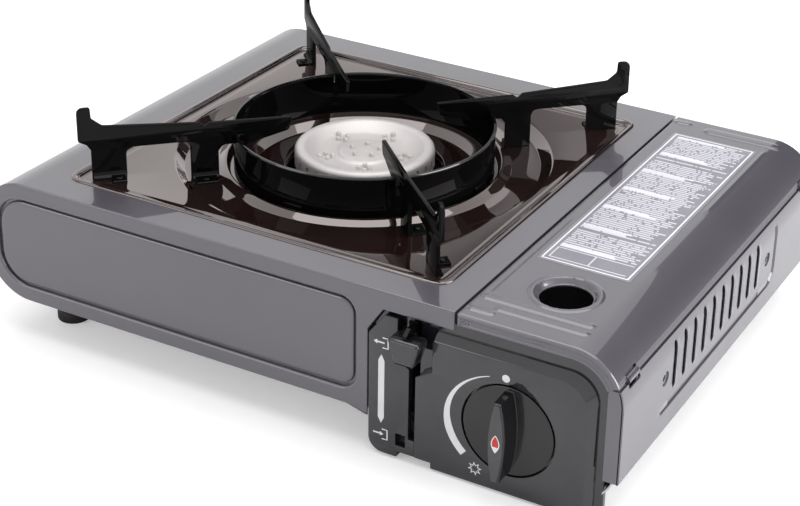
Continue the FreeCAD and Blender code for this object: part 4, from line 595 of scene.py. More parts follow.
# %% Lofts and cutters
def loft_mesh(rows, place, holes=()):
    """Points and faces through outlines (loop, height), closed at both ends."""
    points, faces, ends = [], [], []
    for track in [rows] + list(holes):
        indices = []
        for loop, height in track:
            indices.append(range(len(points), len(points) + len(loop)))
            points += [place(p.x, p.y, height) for p in loop]
        for low, high in zip(indices, indices[1:]):
            for k in range(len(low)):
                n = (k + 1) % len(low)
                faces.append((low[k], low[n], high[n], high[k]))
        ends.append((indices[0], indices[-1], track[0][0], track[-1][0]))
    for which in (0, 1):
        flat = [i for end in ends for i in end[which]]
        polygons = [[Vector((p.x, p.y, 0)) for p in end[2 + which]] for end in ends]
        for a, b, c in tessellate_polygon(polygons):
            faces.append((flat[a], flat[b], flat[c]))
    return points, faces


def baked(made, name):
    """The object's mesh with its modifiers worked in."""
    view = bpy.context.evaluated_depsgraph_get()
    mesh = bpy.data.meshes.new_from_object(made.evaluated_get(view))
    mesh.name = name
    return mesh


def carve(made, cutter_parts):
    """Cuts solids out of a piece and drops the cutter."""
    cutter = merge("cutter", cutter_parts, made.data.materials[0], None)
    change = made.modifiers.new("cut", "BOOLEAN")
    change.object = cutter
    change.operation = "DIFFERENCE"
    change.solver = "EXACT"
    fresh = baked(made, made.name)
    made.modifiers.remove(change)
    made.data = fresh
    fresh.set_sharp_from_angle(angle=math.radians(40))
    bpy.data.objects.remove(cutter)
    return made


def prism(loop, low, high, place):
    return stack_mesh(loop, [(0, low), (0, high)], place)


print("lofts ready")

# %% [markdown]
# ## Pan support
# **Drip tray.** One blank of sheet is drawn into a square rim, a shallow bevel and a round
# well with steps for the ring and the arms, then fired with brown enamel. The easiest way to
# go from a square to a circle is a fan of rays: every row of the mesh has one point on each
# ray, at the distance where the ray meets that row's square or circle.

# %% Drip tray
def square_reach(angle, half, radius):
    """Distance from the middle of a rounded square to its edge along a ray."""
    x, y = sorted((abs(math.cos(angle)), abs(math.sin(angle))), reverse=True)
    if half * y / x <= half - radius:
        return half / x
    middle = half - radius
    along = (x + y) * middle
    return along + math.sqrt(max(along ** 2 - 2 * middle ** 2 + radius ** 2, 0))


def make_tray():
    half = (tray_high[0] - tray_low[0]) / 2 / MM
    square, circle = "square", "circle"
    rows = [
        (square, half - 0.3, 0.0), (square, half, 0.12), (square, half - 0.05, 0.35), (square, half - 0.3,
        0.6),
        (square, half - 0.8, 0.77), (square, half - 1.4, 0.8), (square, half - 2.0, 0.72), (square,
        half - 2.6, 0.45),
        (square, half - 3.1, 0.05), (square, half - 3.8, -0.75), (square, half - 4.3, -1.1), (square,
        half - 5.0, -1.2),
        (square, half - 7.2, -1.2), (square, half - 7.8, -1.12), (square, half - 8.4, -1.2),
        (circle, 97.6, -1.2), (circle, 96.9, -1.35), (circle, 96.2, -1.8), (circle, 91.9, -6.0),
        (circle, 91.2, -6.4), (circle, 90.4, -6.5), (circle, 76.6, -6.5), (circle, 75.8, -6.3),
        (circle, 74.8, -5.8), (circle, 72.2, -4.4), (circle, 71.4, -4.05), (circle, 70.7, -4.0), (circle,
        70.2, -4.4),
        (circle, 69.3, -8.8), (circle, 68.6, -9.0), (circle, 66.0, -9.0), (circle, 65.85, -8.8),
        (circle, 65.8, -7.3), (circle, 65.4, -7.0), (circle, 64.8, -7.2), (circle, 58.6, -12.1), (circle,
        57.9, -12.4),
        (circle, 57.0, -12.5), (circle, 43.4, -12.5), (circle, 42.5, -12.1),
        (circle, 41.9, -9.0), (circle, 41.5, -8.5), (circle, 41.0, -8.7), (circle, 41.2, -12.4),
        (circle, 41.9, -13.3), (circle, 58.1, -13.3), (circle, 64.8, -9.85), (circle, 69.2, -9.8),
        (circle, 70.9, -7.3), (circle, 91.0, -7.3), (circle, 96.0, -2.2), (circle, 97.2, -2.0),
        (square, half - 6.0, -2.0), (square, half - 5.0, -1.9), (square, half - 4.2, -1.3), (square,
        half - 3.6, -0.2),
        (square, half - 3.3, 0.0),
    ]
    steps = 288
    points, faces = [], []
    for k in range(steps):
        angle = 2 * math.pi * (k + 0.5) / steps
        for kind, size, height in rows:
            corner = max(7.5 - (half - size), 3.0) if kind == square else 0
            reach = square_reach(angle, size, corner) if kind == square else size
            points.append((tray_x + reach * math.cos(angle), tray_y + reach * math.sin(angle),
                top_z + height))
    count = len(rows)
    for k in range(steps):
        n = (k + 1) % steps
        for j in range(count):
            i = (j + 1) % count
            faces.append((k * count + j, n * count + j, n * count + i, k * count + i))
    return finish_mesh("enamelled_tray", points, faces, BROWN_ENAMEL, "pan_support", ["drip_tray"], sharp=75)


tray = make_tray()
print("tray faces", len(tray.data.polygons))

# %% [markdown]
# **Wind ring.** A strip of sheet is bent into a ring and its upper edge is rolled over, so it
# shines as one thin line. Four notches let the arms pass. Bent tabs at its foot sit on the
# tray's ledge.

# %% Wind ring and its tabs
RING = 67.0
ring = lathe("wind_ring_rolled", [
    (RING - 0.8, -9.0), (RING, -9.0), (RING, 13.9), (RING + 0.15, 14.3), (RING + 0.5, 14.7), (RING + 0.5,
    15.1),
    (RING + 0.2, 15.5), (RING - 0.4, 15.6), (RING - 0.9, 15.5), (RING - 1.1, 15.0), (RING - 1.0, 14.5),
    (RING - 0.8, 13.9),
], (tray_x, tray_y, top_z), RING_ENAMEL, "pan_support", ["wind_ring"], steps=192)
carve(ring, [
    prism([Vector(p) for p in ((RING - 4, 10.3), (RING + 4, 10.3), (RING + 4, 20), (RING - 4, 20))], -1.3,
        1.3,
          about_burner(angle))
    for angle in (45, 135, 225, 315)
])


def tab_mesh(angle):
    outline = rounded([
        (RING, -9.0, 0), (68.7, -9.0, 0.2), (68.7, -8.2, 0.2), (67.9, -8.2, 0.5), (67.8, -3.0, 0.3), (RING,
        -3.0, 0),
    ], 3)
    return stack_mesh(outline, [(0.12, -5), (0, -4.8), (0, 4.8), (0.12, 5)], about_burner(angle))


merge("ring_feet", [tab_mesh(angle) for angle in (0, 90, 180, 270)], BLACK_ENAMEL, "pan_support",
    ["ring_tabs"])
print("ring faces", len(ring.data.polygons))

# %% [markdown]
# **Arms.** Each arm is a flat blank, sheared and then bent: two feet with a window between
# them, a horn at the outer end that keeps a pan from sliding, a small notch in the upper edge.
# The feet are bent over to tabs and riveted to the tray. Sheared and enamelled edges are
# slightly round, so the upper edge catches a long light line.

# %% Pan arms
def arm_parts(angle):
    end = 144.0
    shank = end - 6.0
    foot = shank - 17.0
    outline = rounded([
        (38.0, 22.5, 0.8), (39.5, 15.6, 2), (58.0, 10.6, 6), (73.0, 10.6, 3), (75.5, 7.6, 1.5), (75.5, -6.5,
        0.4),
        (89.5, -6.5, 0.4), (89.5, 14.0, 3.5), (foot, 14.0, 3.5), (foot, -1.2, 0.4), (shank, -1.2, 0.4),
        (shank, 14.0, 1), (shank + 2, 17.0, 1.5), (end, 19.0, 1.2), (end, 36.6, 3.0), (end - 6.6, 36.6, 1.2),
        (end - 6.9, 30.6, 2), (end - 12.0, 26.5, 3), (84.6, 23.7, 0.6), (82.0, 21.3, 0.8), (79.4, 23.3, 0.6),
    ], 4)
    blade = stack_mesh(outline, [(0.35, -1.0), (0.1, -0.9), (0, -0.65), (0, 0.65), (0.1, 0.9), (0.35, 1.0)],
                       about_burner(angle))
    tabs = []
    for start, stop, base in ((foot + 1, shank - 9, -1.2), (77.0, 88.0, -6.5)):
        bend = [
            Vector(p) for p in ((-0.5, base), (9.0, base), (9.0, base + 0.9), (8.7, base + 1.2), (2.6,
                base + 1.2),
                                (1.7, base + 1.5), (1.2, base + 2.2), (1.0, base + 3.2), (-0.5, base + 3.2))
        ]
        bent = about_burner(angle, lambda u, v, h: (h, u, v))
        tabs.append(stack_mesh(bend, [(0.25, start), (0, start + 0.25), (0, stop - 0.25), (0.25, stop)],
            bent))
        band = [
            Vector(p) for p in ((-0.5, base), (2.7, base), (3.0, base + 0.4), (2.7, base + 0.9), (1.9,
                base + 1.3),
                                (1.35, base + 2.0), (1.0, base + 3.0), (-0.5, base + 3.0))
        ]
        first, last = (foot + 0.4, shank - 0.4) if base > -2 else (75.9, 89.1)
        tabs.append(stack_mesh(band, [(0.2, first), (0, first + 0.2), (0, last - 0.2), (0.2, last)], bent))
    return [blade] + tabs


for label, angle in (("front_right", -45), ("back_right", 45), ("back_left", 135), ("front_left", 225)):
    merge("arm_" + label, arm_parts(angle), BLACK_ENAMEL, "pan_support", ["pan_arm_" + label])
print("arms made")

# %% [markdown]
# **Repeated small parts.** Rivets, posts, screws and louvre lips repeat, so one small node
# tree places a master mesh on a list of points and turns it as each point says. The tree is
# evaluated once for each set and the result is kept as one plain mesh.

# %% Geometry Nodes: one master on many spots
def scatter_tree():
    tree = bpy.data.node_groups.new("masters_on_spots", "GeometryNodeTree")
    face = tree.interface
    face.new_socket("Geometry", in_out="INPUT", socket_type="NodeSocketGeometry")
    master_id = face.new_socket("Master", in_out="INPUT", socket_type="NodeSocketObject").identifier
    paint_id = face.new_socket("Paint", in_out="INPUT", socket_type="NodeSocketMaterial").identifier
    face.new_socket("Geometry", in_out="OUTPUT", socket_type="NodeSocketGeometry")

    def add(kind, **settings):
        made = tree.nodes.new(kind)
        for key, value in settings.items():
            setattr(made, key, value)
        return made

    start, end = add("NodeGroupInput"), add("NodeGroupOutput")
    turn = add("GeometryNodeInputNamedAttribute", data_type="FLOAT_VECTOR")
    turn.inputs["Name"].default_value = "turn"
    info = add("GeometryNodeObjectInfo")
    place = add("GeometryNodeInstanceOnPoints")
    real = add("GeometryNodeRealizeInstances")
    paint = add("GeometryNodeSetMaterial")
    euler = add("FunctionNodeEulerToRotation")
    for a, b in (
        (start.outputs["Geometry"], place.inputs["Points"]), (start.outputs["Master"], info.inputs["Object"]),
        (info.outputs["Geometry"], place.inputs["Instance"]), (turn.outputs["Attribute"],
        euler.inputs["Euler"]),
        (euler.outputs["Rotation"], place.inputs["Rotation"]), (place.outputs["Instances"],
        real.inputs["Geometry"]),
        (real.outputs["Geometry"], paint.inputs["Geometry"]), (start.outputs["Paint"],
        paint.inputs["Material"]),
        (paint.outputs["Geometry"], end.inputs["Geometry"]),
    ):
        tree.links.new(a, b)
    return tree, master_id, paint_id


SCATTER, MASTER_ID, PAINT_ID = scatter_tree()


def scatter(name, master, spots, material, body, node=()):
    """A copy of the master on every spot (place in mm, turn in radians), as one mesh."""
    mesh = bpy.data.meshes.new(name + "_spots")
    mesh.from_pydata([tuple(v * MM for v in spot) for spot, turn in spots], [], [])
    turns = mesh.attributes.new("turn", "FLOAT_VECTOR", "POINT")
    for item, (spot, turn) in zip(turns.data, spots):
        item.vector = turn
    holder = bpy.data.objects.new(name, mesh)
    bpy.context.collection.objects.link(holder)
    change = holder.modifiers.new("scatter", "NODES")
    change.node_group = SCATTER
    change[MASTER_ID] = master
    change[PAINT_ID] = material
    fresh = baked(holder, name)
    holder.modifiers.remove(change)
    holder.data = fresh
    fresh.set_sharp_from_angle(angle=math.radians(40))
    if not fresh.materials:
        fresh.materials.append(material)
    bpy.data.objects.remove(master)
    if body:
        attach(holder, body)
    if node:
        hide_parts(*node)
    return holder


rivet = lathe("rivet_master", [(0, 0), (1.9, 0), (1.9, 0.35), (1.6, 0.75), (1.0, 0.95), (0, 1.0)], (0, 0, 0),
              BLACK_ENAMEL, None, steps=24)
rivet_spots = []
for angle in (-45, 45, 135, 225):
    c, s = math.cos(math.radians(angle)), math.sin(math.radians(angle))
    for out, sink in ((144 - 6 - 8.5 - 4, -1.2), (82.5, -6.5)):
        across = 1 + 8 * 0.55
        rivet_spots.append(((tray_x + out * c - across * s, tray_y + out * s + across * c,
            top_z + sink + 1.2), (0, 0, 0)))
scatter("rivet_heads", rivet, rivet_spots, BLACK_ENAMEL, "pan_support", ["arm_rivets"])
print("rivets", len(rivet_spots))

# %% [markdown]
# ## Burner
# **Burner head.** A light casting with a thick soft rim, a sunken floor and a rough hub. Gas
# leaves through slots in the rim's side. Small cast posts stand in clusters on the floor, as
# the mould's vents leave them.

# %% Burner head
head = lathe("burner_casting", [
    (0, -4.3), (9.0, -4.3), (10.8, -7.3), (27.0, -7.3), (27.0, -10.3), (27.5, -10.3), (27.5, -8.3), (34.6,
    -8.3), (35.6, -7.9),
    (36.1, -6.8), (36.1, 0.2), (35.9, 1.2), (35.3, 2.0), (34.4, 2.55), (33.5, 2.7), (31.6, 2.7), (30.6, 2.4),
    (29.4, 1.6),
    (28.4, 1.0), (24.5, -1.0), (22.4, -1.5), (17.0, -1.8), (14.8, -1.85), (14.0, -1.4), (13.4, -0.8), (12.2,
    -0.7), (5.0, -0.5), (0, -0.5),
], (tray_x, tray_y, top_z), CAST_ALLOY, "housing", ["burner_head"], steps=144)
carve(head, [
    prism([Vector(p) for p in ((29.1, -5.7), (37.1, -5.7), (37.1, -0.7), (29.1, -0.7))], -0.7, 0.7,
        about_burner(k * 360 / 32))
    for k in range(32)
])
post = lathe("post_master", [(0, -2.4), (1.3, -2.4), (1.25, 0.5), (1.0, 0.9), (0, 1.0)], (0, 0, 0),
    CAST_ALLOY, None, steps=16)
post_spots = []
for cluster in range(5):
    a = math.radians(cluster * 72 + 12)
    for k, (dr, da) in enumerate(((20.5, -0.14), (20.8, 0.13), (24.3, 0.0), (17.6, 0.02))):
        lift = -0.2 if k == 2 else -0.7
        post_spots.append(((tray_x + dr * math.cos(a + da), tray_y + dr * math.sin(a + da), top_z + lift), (0,
            0, a)))
for k in range(5):
    a = math.radians(k * 72 + 40)
    post_spots.append(((tray_x + 7.5 * math.cos(a), tray_y + 7.5 * math.sin(a), top_z + 0.3), (0, 0, 0)))
scatter("casting_posts", post, post_spots, CAST_ALLOY, "housing")
print("head faces", len(head.data.polygons), "posts", len(post_spots))

# %% [markdown]
# ## Casing
# **Front wall.** A flat plate with rolled edges. A large field is pressed back by a little over
# half a millimetre, with soft borders that draw a dark and a light line. The plate is a loft
# with the field's outline as its hole, and the field closes that hole from behind.

# %% Front wall
def front_level(proud):
    """Height over the front plane for a piece that stands so far in front of the wall."""
    return -front_y + proud


def make_front_wall():
    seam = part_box("front_wall")[1][0] / MM
    left = -half_x
    outline = rounded([
        (seam, top_z, 0), (left, top_z, CORNER), (left, 21.5, CORNER), (36.5, 21.5, 8),
        (48.0, 18.5, 0.4), (48.0, 64.5, 0.6), (56.0, 76.5, 0.6), (seam, 76.5, 0),
    ], 12)
    field = rounded([(left + 9, 30.5, 16), (41.0, 30.5, 8), (41.0, top_z - 9, 8), (left + 9, top_z - 9, 16)],
        12)
    at = front_level
    plate = loft_mesh(
        [(inset(outline, d), at(h)) for d, h in ((0, -0.8), (0, -0.55), (0.12, -0.25), (0.35, -0.07), (0.8,
            0))],
        on_front,
        [[(inset(field, -d), at(h)) for d, h in
          ((0.7, -2.4), (0.7, -1.2), (0.85, -0.5), (1.2, 0.0), (1.7, 0.25), (2.2, 0.25), (2.9, 0.08), (3.6,
          0))]],
    )
    back = loft_mesh(
        [(inset(field, d), at(h)) for d, h in ((-0.75, -3.0), (-0.75, -2.2), (0.6, -2.2), (0.75, -1.3), (1.1,
            -0.75), (1.8, -0.55), (3.0, -0.5))], on_front,
    )
    return merge("front_wall_pressed", [plate, back], PAINT, "housing", ["front_wall"], sharp=50)


front_wall = make_front_wall()
print("front wall faces", len(front_wall.data.polygons))

# %% [markdown]
# **Bent sheets.** The lid and the side panel are bent along Y. Their surface is a grid: one
# way runs along the bent outline, the other from front to back. Pressed beads and grooves
# push the grid in or out a little. A second grid one sheet further in closes the piece.

# %% A bent sheet with pressings
def capsule(x, y, x1, y1, x2, y2, half):
    """1 on the line from x1, y1 to x2, y2, falling softly to 0 at half its width."""
    dx, dy = x2 - x1, y2 - y1
    t = max(0.0, min(1.0, ((x - x1) * dx + (y - y1) * dy) / (dx * dx + dy * dy)))
    away = math.hypot(x - x1 - t * dx, y - y1 - t * dy) / half
    rise = min(1.0, max(0.0, (1 - away) / 0.5))
    return rise * rise * (3 - 2 * rise)


def bent_sheet(path, rows, press, sheet=SHEET):
    """path: (x, z, nx, nz); rows: (inset, y, inner inset, inner y); press(x, z, y) in mm."""
    points, faces = [], []
    wide, deep = len(path), len(rows)
    for side in (0, 1):
        for d, y, d_in, y_in in rows:
            for x, z, nx, nz in path:
                push = press(x, z, y) if d == 0 else 0.0
                away, level = (push - d, y) if side == 0 else (push - d_in, y_in)
                points.append((x + nx * away, level, z + nz * away))
    layer = wide * deep
    for j in range(deep - 1):
        for i in range(wide - 1):
            a, b, c, e = j * wide + i, j * wide + i + 1, (j + 1) * wide + i + 1, (j + 1) * wide + i
            faces.append((a, b, c, e))
            faces.append((layer + a, layer + e, layer + c, layer + b))
    for j in range(deep - 1):
        for i in (0, wide - 1):
            a, b = j * wide + i, (j + 1) * wide + i
            faces.append((a, b, layer + b, layer + a))
    for i in range(wide - 1):
        for j in (0, deep - 1):
            a, b = j * wide + i, j * wide + i + 1
            faces.append((a, b, layer + b, layer + a))
    return points, faces


def steps_between(start, stop, step):
    count = max(1, round(abs(stop - start) / step))
    return [start + (stop - start) * k / count for k in range(count)]


def arc_path(centre_x, centre_z, radius, start, stop, count):
    """Points on an arc with their outward directions."""
    turned = []
    for k in range(count + 1):
        a = math.radians(start + (stop - start) * k / count)
        turned.append((centre_x + radius * math.cos(a), centre_z + radius * math.sin(a), math.cos(a),
            math.sin(a)))
    return turned


print("sheet helper ready")

# %% [markdown]
# **Lid.** The lid over the cartridge bay has two long beads in front, short ones at the seam,
# an oval at the back and a fine one beside the label. A round hole sits in a pressed dish.
# Its front end is folded down to a flange with three ridges.

# %% Lid
hole_x, hole_y = half_x - 47.2, front_y + 40.0
flat_end = half_x - CORNER
seam_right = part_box("cartridge_lid")[0][0] / MM
BEADS = [
    (hole_x - 29, front_y + 19.5, hole_x + 21, front_y + 19.5, 2.6, 0.65),
    (hole_x - 19, front_y + 12.3, hole_x + 22, front_y + 12.3, 2.2, 0.6),
    (seam_right + 4, front_y + 7.2, seam_right + 13, front_y + 7.2, 2.4, 0.6),
    (seam_right + 3.5, back_y - 7, seam_right + 9, back_y - 7, 2.4, 0.6),
    (seam_right + 23, back_y - 10, flat_end + 3, back_y - 10, 4.0, 0.65),
    (flat_end + 1.2, front_y + 149, flat_end + 1.2, front_y + 229, 1.5, 0.45),
    (seam_right + 3.4, front_y + 26, seam_right + 3.4, front_y + 108, 0.9, -0.3),
]


def press_lid(x, z, y):
    if z < top_z - 3:
        return 0.0
    height = 0.0
    for x1, y1, x2, y2, half, lift in BEADS:
        if abs(y - (y1 + y2) / 2) < abs(y2 - y1) / 2 + half:
            height += lift * capsule(x, y, x1, y1, x2, y2, half)
    away = math.hypot(x - hole_x, y - hole_y)
    if away < 17.5:
        if away > 14.6:
            height += 0.55 * capsule(away, 0, 15.6, 0, 15.61, 0, 1.7)
        else:
            height -= 2.4 * min(1.0, (14.6 - away) / 2.0) ** 1.2 - 0.2
    return height


def make_lid():
    edge = math.degrees(math.asin((72.0 - top_z + CORNER) / CORNER))
    path = [(seam_right, z, -1, 0) for z in (80.0, 82.5, 84.6)]
    path += [(seam_right + 0.12, 85.5, -0.8, 0.6), (seam_right + 0.5, 85.88, -0.4, 0.92)]
    flats = steps_between(seam_right + 1.0, hole_x - 18, 0.8) + steps_between(hole_x - 18, hole_x + 18, 0.5)
    path += [(x, top_z, 0, 1) for x in flats + steps_between(hole_x + 18, flat_end, 0.8)]
    path += arc_path(flat_end, top_z - CORNER, CORNER, 90, edge, 34)
    ridges = ((6.0, 0.1), (5.8, 0.4), (5.3, 0.5), (4.8, 0.35), (4.5, 0.0), (4.0, 0.0), (3.6, 0.3), (3.2, 0.3),
        (2.8, 0.0),
              (2.3, 0.0), (1.9, 0.35), (1.5, 0.5), (1.0, 0.5), (0.6, 0.3), (0.3, 0.0), (0.12, -0.3))
    rows = [(d, front_y - proud, max(d, SHEET), front_y + SHEET) for d, proud in ridges]
    rows += [(0, y, SHEET, max(y, front_y + SHEET)) for y in steps_between(front_y + 0.7, front_y + 22, 0.6)]
    rows += [(0, y, SHEET, y) for y in steps_between(front_y + 22, front_y + 58, 0.5)]
    rows += [(0, y, SHEET, y) for y in steps_between(front_y + 58, front_y + 232, 2.4)]
    rows += [(0, y, SHEET, min(y, back_y - SHEET)) for y in steps_between(front_y + 232, back_y - 0.6, 0.7)]
    rows += [(0.15, back_y - 0.15, SHEET, back_y - SHEET), (0.6, back_y, SHEET, back_y - SHEET),
             (6.0, back_y, 6.0, back_y - SHEET)]
    points, faces = bent_sheet(path, rows, press_lid)
    lid = finish_mesh("lid_pressed", points, faces, PAINT, "lid", ["cartridge_lid"], sharp=50)
    hinge_cuts = [
        prism(box_loop(half_x - 8, middle - 5.6, half_x + 1, middle + 5.6, 0.4), 70.5, 74.6, on_top)
        for middle in (front_y + 14, back_y - 16)
    ]
    carve(lid, [prism(circle_loop(hole_x, hole_y, 12.3, 72), top_z - 6, top_z + 3, on_top)] + hinge_cuts)
    return lid


lid = make_lid()
print("lid faces", len(lid.data.polygons))

# %% [markdown]
# **Label.** A thin pale foil plate is stuck to the lid. It has a fine white border, rows of
# small pale rules and blocks that stand for print, and two empty boxes at its front end. The rows come from the piece's own X and
# Y places: a repeating band for each row, broken up by noise.

# %% Label
label_low, label_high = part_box("lid_label")


def label_foil():
    book = Book("label_print", IOR=1.5, Coat_Roughness=0.08)
    u = (book.axis("X") - label_low[0]) * 1000
    v = (book.axis("Y") - label_low[1]) * 1000
    wide, deep = (label_high[0] - label_low[0]) / MM, (label_high[1] - label_low[1]) / MM

    def least(a, b):
        return book.node("ShaderNodeMath", {"operation": "MINIMUM"}, {0: a, 1: b})

    def wrap(value, length):
        return book.node("ShaderNodeMath", {"operation": "MODULO"}, {0: value, 1: length})

    def floor(value):
        return book.node("ShaderNodeMath", {"operation": "FLOOR"}, {0: value})

    edge = least(least(u, wide - u), least(v, deep - v))
    border = (edge > 1.5) * (edge < 2.3)
    inside = edge > 4.0
    row = floor(v / 2.0)
    word = book.node("ShaderNodeCombineXYZ", {}, {0: floor(u / 0.8) * 0.37, 1: row * 0.71, 2: 0.0})
    gaps = book.node("ShaderNodeTexWhiteNoise", {"noise_dimensions": "3D"}, {"Vector": word},
        out="Value") > 0.13
    line = book.node("ShaderNodeTexWhiteNoise", {"noise_dimensions": "1D"}, {"W": row}, out="Value")
    length = (u < line * 12 + (wide - 12)) * (line > 0.06)
    rules = (wrap(v, 2.0) > 0.8) * gaps * length * inside * (v > 16)
    bar = (wrap(v + 8, 24.0) < 3.4) * (u < 27 + line * 8) * (u > 4) * inside * (v > 16)
    frame_edge = wrap(u - 4, wide / 2 - 4)
    boxes = ((frame_edge < 0.7) + (v < 4.7) + (v > 14.3)) * (v < 15) * inside
    base = book.ramp(book.noise(60, 4), [(0.3, (0.25, 0.245, 0.28)), (0.7, (0.30, 0.295, 0.33))])
    inked = book.blend(rules * 0.75, base, (0.74, 0.74, 0.80))
    barred = book.blend(bar * 0.85, inked, (0.80, 0.80, 0.86))
    barred = book.blend(least(boxes, 1.0) * 0.8, barred, (0.84, 0.84, 0.88))
    book.feed("Base Color", book.blend(border, barred, (0.92, 0.92, 0.95)))
    book.feed("Roughness", book.spread(book.noise(200, 3), 0.3, 0.7, 0.30, 0.42))
    book.feed("Metallic", (1 - rules) * 0.35)
    book.bump(book.noise(500, 2), 0.000004, 0.4)
    return book.material


LABEL = label_foil()
label_loop = box_loop(*(v / MM for v in (label_low[0], label_low[1], label_high[0], label_high[1])), 0.8)
stack("label_plate", label_loop, [(0.0, top_z - 0.05), (0, top_z + 0.1), (0.06, top_z + 0.16), (0.2,
    top_z + 0.18)],
      on_top, LABEL, "lid", ["lid_label"])
print("label", [round(v * 1000, 1) for v in (*label_low, *label_high)])

# %% [markdown]
# **Side panel.** The right side hangs below the lid. Ten louvres are slit and pushed out on
# one edge, a groove runs round them, and two holes give access to the screws. The slits are
# cut by one cutter, which the spot tree repeats along the row.

# %% Side panel
VENT_FIRST, VENT_PITCH, VENTS = front_y + 58.4, 11.8, 10
SCREWS = [(front_y + 48.0, 52.5), (front_y + 180.0, 52.5)]
GROOVE = [(front_y + 46, 36.6), (front_y + 184, 36.6), (front_y + 187.6, 37.6), (front_y + 190.2, 40.2),
          (front_y + 191, 44), (front_y + 191, 64.5)]


def press_side(x, z, y):
    height = 0.0
    for (y1, z1), (y2, z2) in zip(GROOVE, GROOVE[1:]):
        height = min(height, -1.3 * capsule(y, z, y1, z1, y2, z2, 2.3))
    nearest = round((y - VENT_FIRST) / VENT_PITCH)
    if 0 <= nearest < VENTS:
        away = y - VENT_FIRST - nearest * VENT_PITCH
        ends = min(1.0, max(0.0, (z - 42.4) / 2.4), max(0.0, (67.6 - z) / 2.4))
        if 0 <= away < 4.2 and ends > 0:
            height += 0.5 * (1 - (away / 4.2) ** 2) * ends
        elif -2.6 < away < 0 and ends > 0:
            height -= 0.35 * (1 + away / 2.6) * ends
    return height


def make_side():
    top_angle = math.degrees(math.asin((70.3 - top_z + CORNER) / CORNER))
    straight = top_z - CORNER
    path = [(half_x, z, 1, 0) for z in steps_between(24.0, straight, 0.7)]
    path += arc_path(half_x - CORNER, straight, CORNER, 0, top_angle, 14)
    middle = [VENT_FIRST + n * VENT_PITCH + d for n in range(VENTS) for d in (-3, -2.6, -2, -1.3, -0.7, -0.05,
        0, 0.5, 1, 1.6, 2.3, 3, 3.7, 4.2, 5.0, 6.4, 7.6)]
    spots = steps_between(front_y, VENT_FIRST - 4, 1.6) + middle
    spots += steps_between(middle[-1] + 1, front_y + 187, 1.5) + steps_between(front_y + 187, front_y + 195,
        0.6)
    spots += steps_between(front_y + 195, back_y - 0.8, 2.5) + [back_y - 0.8]
    rows = [(0, y, SHEET, y) for y in spots]
    skin = bent_sheet(path, rows, press_side)
    seam_x = half_x - CORNER + math.sqrt(CORNER ** 2 - (70.3 - straight) ** 2)
    corner = [Vector((x, z)) for x, z, nx, nz in arc_path(half_x - CORNER, straight, CORNER, 0, top_angle,
        14)]
    loop = [Vector((166.5, 24)), Vector((half_x, 24))] + corner + [Vector((166.5, 70.3))]
    end = stack_mesh(loop, [(0, -front_y - 0.8), (0, -front_y - 0.3), (0.1, -front_y - 0.08), (0.3,
        -front_y)], on_front)
    hem_turn = [math.degrees(math.asin((z - straight) / 23.9)) for z in (67.0, 73.2)]
    hem_path = arc_path(half_x - CORNER, straight, 23.9, *hem_turn, 8)
    hems = []
    for start, stop in ((front_y + 1.1, front_y + 7.6), (front_y + 20.4, back_y - 22.4), (back_y - 9.6,
        back_y - 1.2)):
        hems.append(bent_sheet(hem_path, [(0, start, 0.7, start), (0, stop, 0.7, stop)], lambda x, z, y: 0.0))
    inner = [Vector((x, z)) for x, z, nx, nz in arc_path(half_x - CORNER, straight, 23.8, *hem_turn, 8)]
    lap = [Vector((166.9, 67.0))] + inner + [Vector((166.9, 73.2))]
    hems.append(stack_mesh(lap, [(0, -front_y - 1.7), (0, -front_y - 1.2), (0.1, -front_y - 1.05)], on_front))
    panel = merge("side_panel_pressed", [skin, end] + hems, PAINT, "housing", ["side_panel"], sharp=50)
    slit = stack("slit", box_loop(-0.85, 43.0, 0.85, 67.0, 0.7), [(0, half_x - 3), (0, half_x + 3)], on_side,
        PAINT, None)
    slits = scatter("slits", slit, [((0, VENT_FIRST + n * VENT_PITCH, 0), (0, 0, 0)) for n in range(VENTS)],
        PAINT, None)
    spare = [prism(circle_loop(y, z, 3.6, 40), half_x - 3, half_x + 3, on_side) for y, z in SCREWS]
    spare += [prism(box_loop(middle - 6.0, 68.2, middle + 6.0, 73, 0.4), half_x - 8, half_x + 3, on_side)
              for middle in (front_y + 14, back_y - 16)]
    own = [tuple(v.co / MM) for v in slits.data.vertices], [tuple(f.vertices) for f in slits.data.polygons]
    carve(panel, spare + [own])
    bpy.data.objects.remove(slits)
    return panel


side = make_side()
print("side panel faces", len(side.data.polygons), "at", round(seam_right, 1))

# %% [markdown]
# **Screws and feet.** The dark screws have a domed head with a cross and sit deep in holes. The feet are moulded rubber
# with a soft lower edge and a waist.

# %% Screws and feet
def screw_master():
    head_shape = [(0, -5.8), (1.6, -5.8), (1.6, -2.2), (3.2, -2.2), (3.2, -1.8), (2.9, -1.3), (2.2, -1.05),
        (0, -1.0)]
    master = lathe("screw_master", head_shape, (0, 0, 0), BLACKED, None, steps=32, axis="X")
    arms = [prism(box_loop(-a, -b, a, b, 0.1), -1.75, 1, on_side) for a, b in ((0.35, 1.9), (1.9, 0.35))]
    return carve(carve(master, arms[:1]), arms[1:])


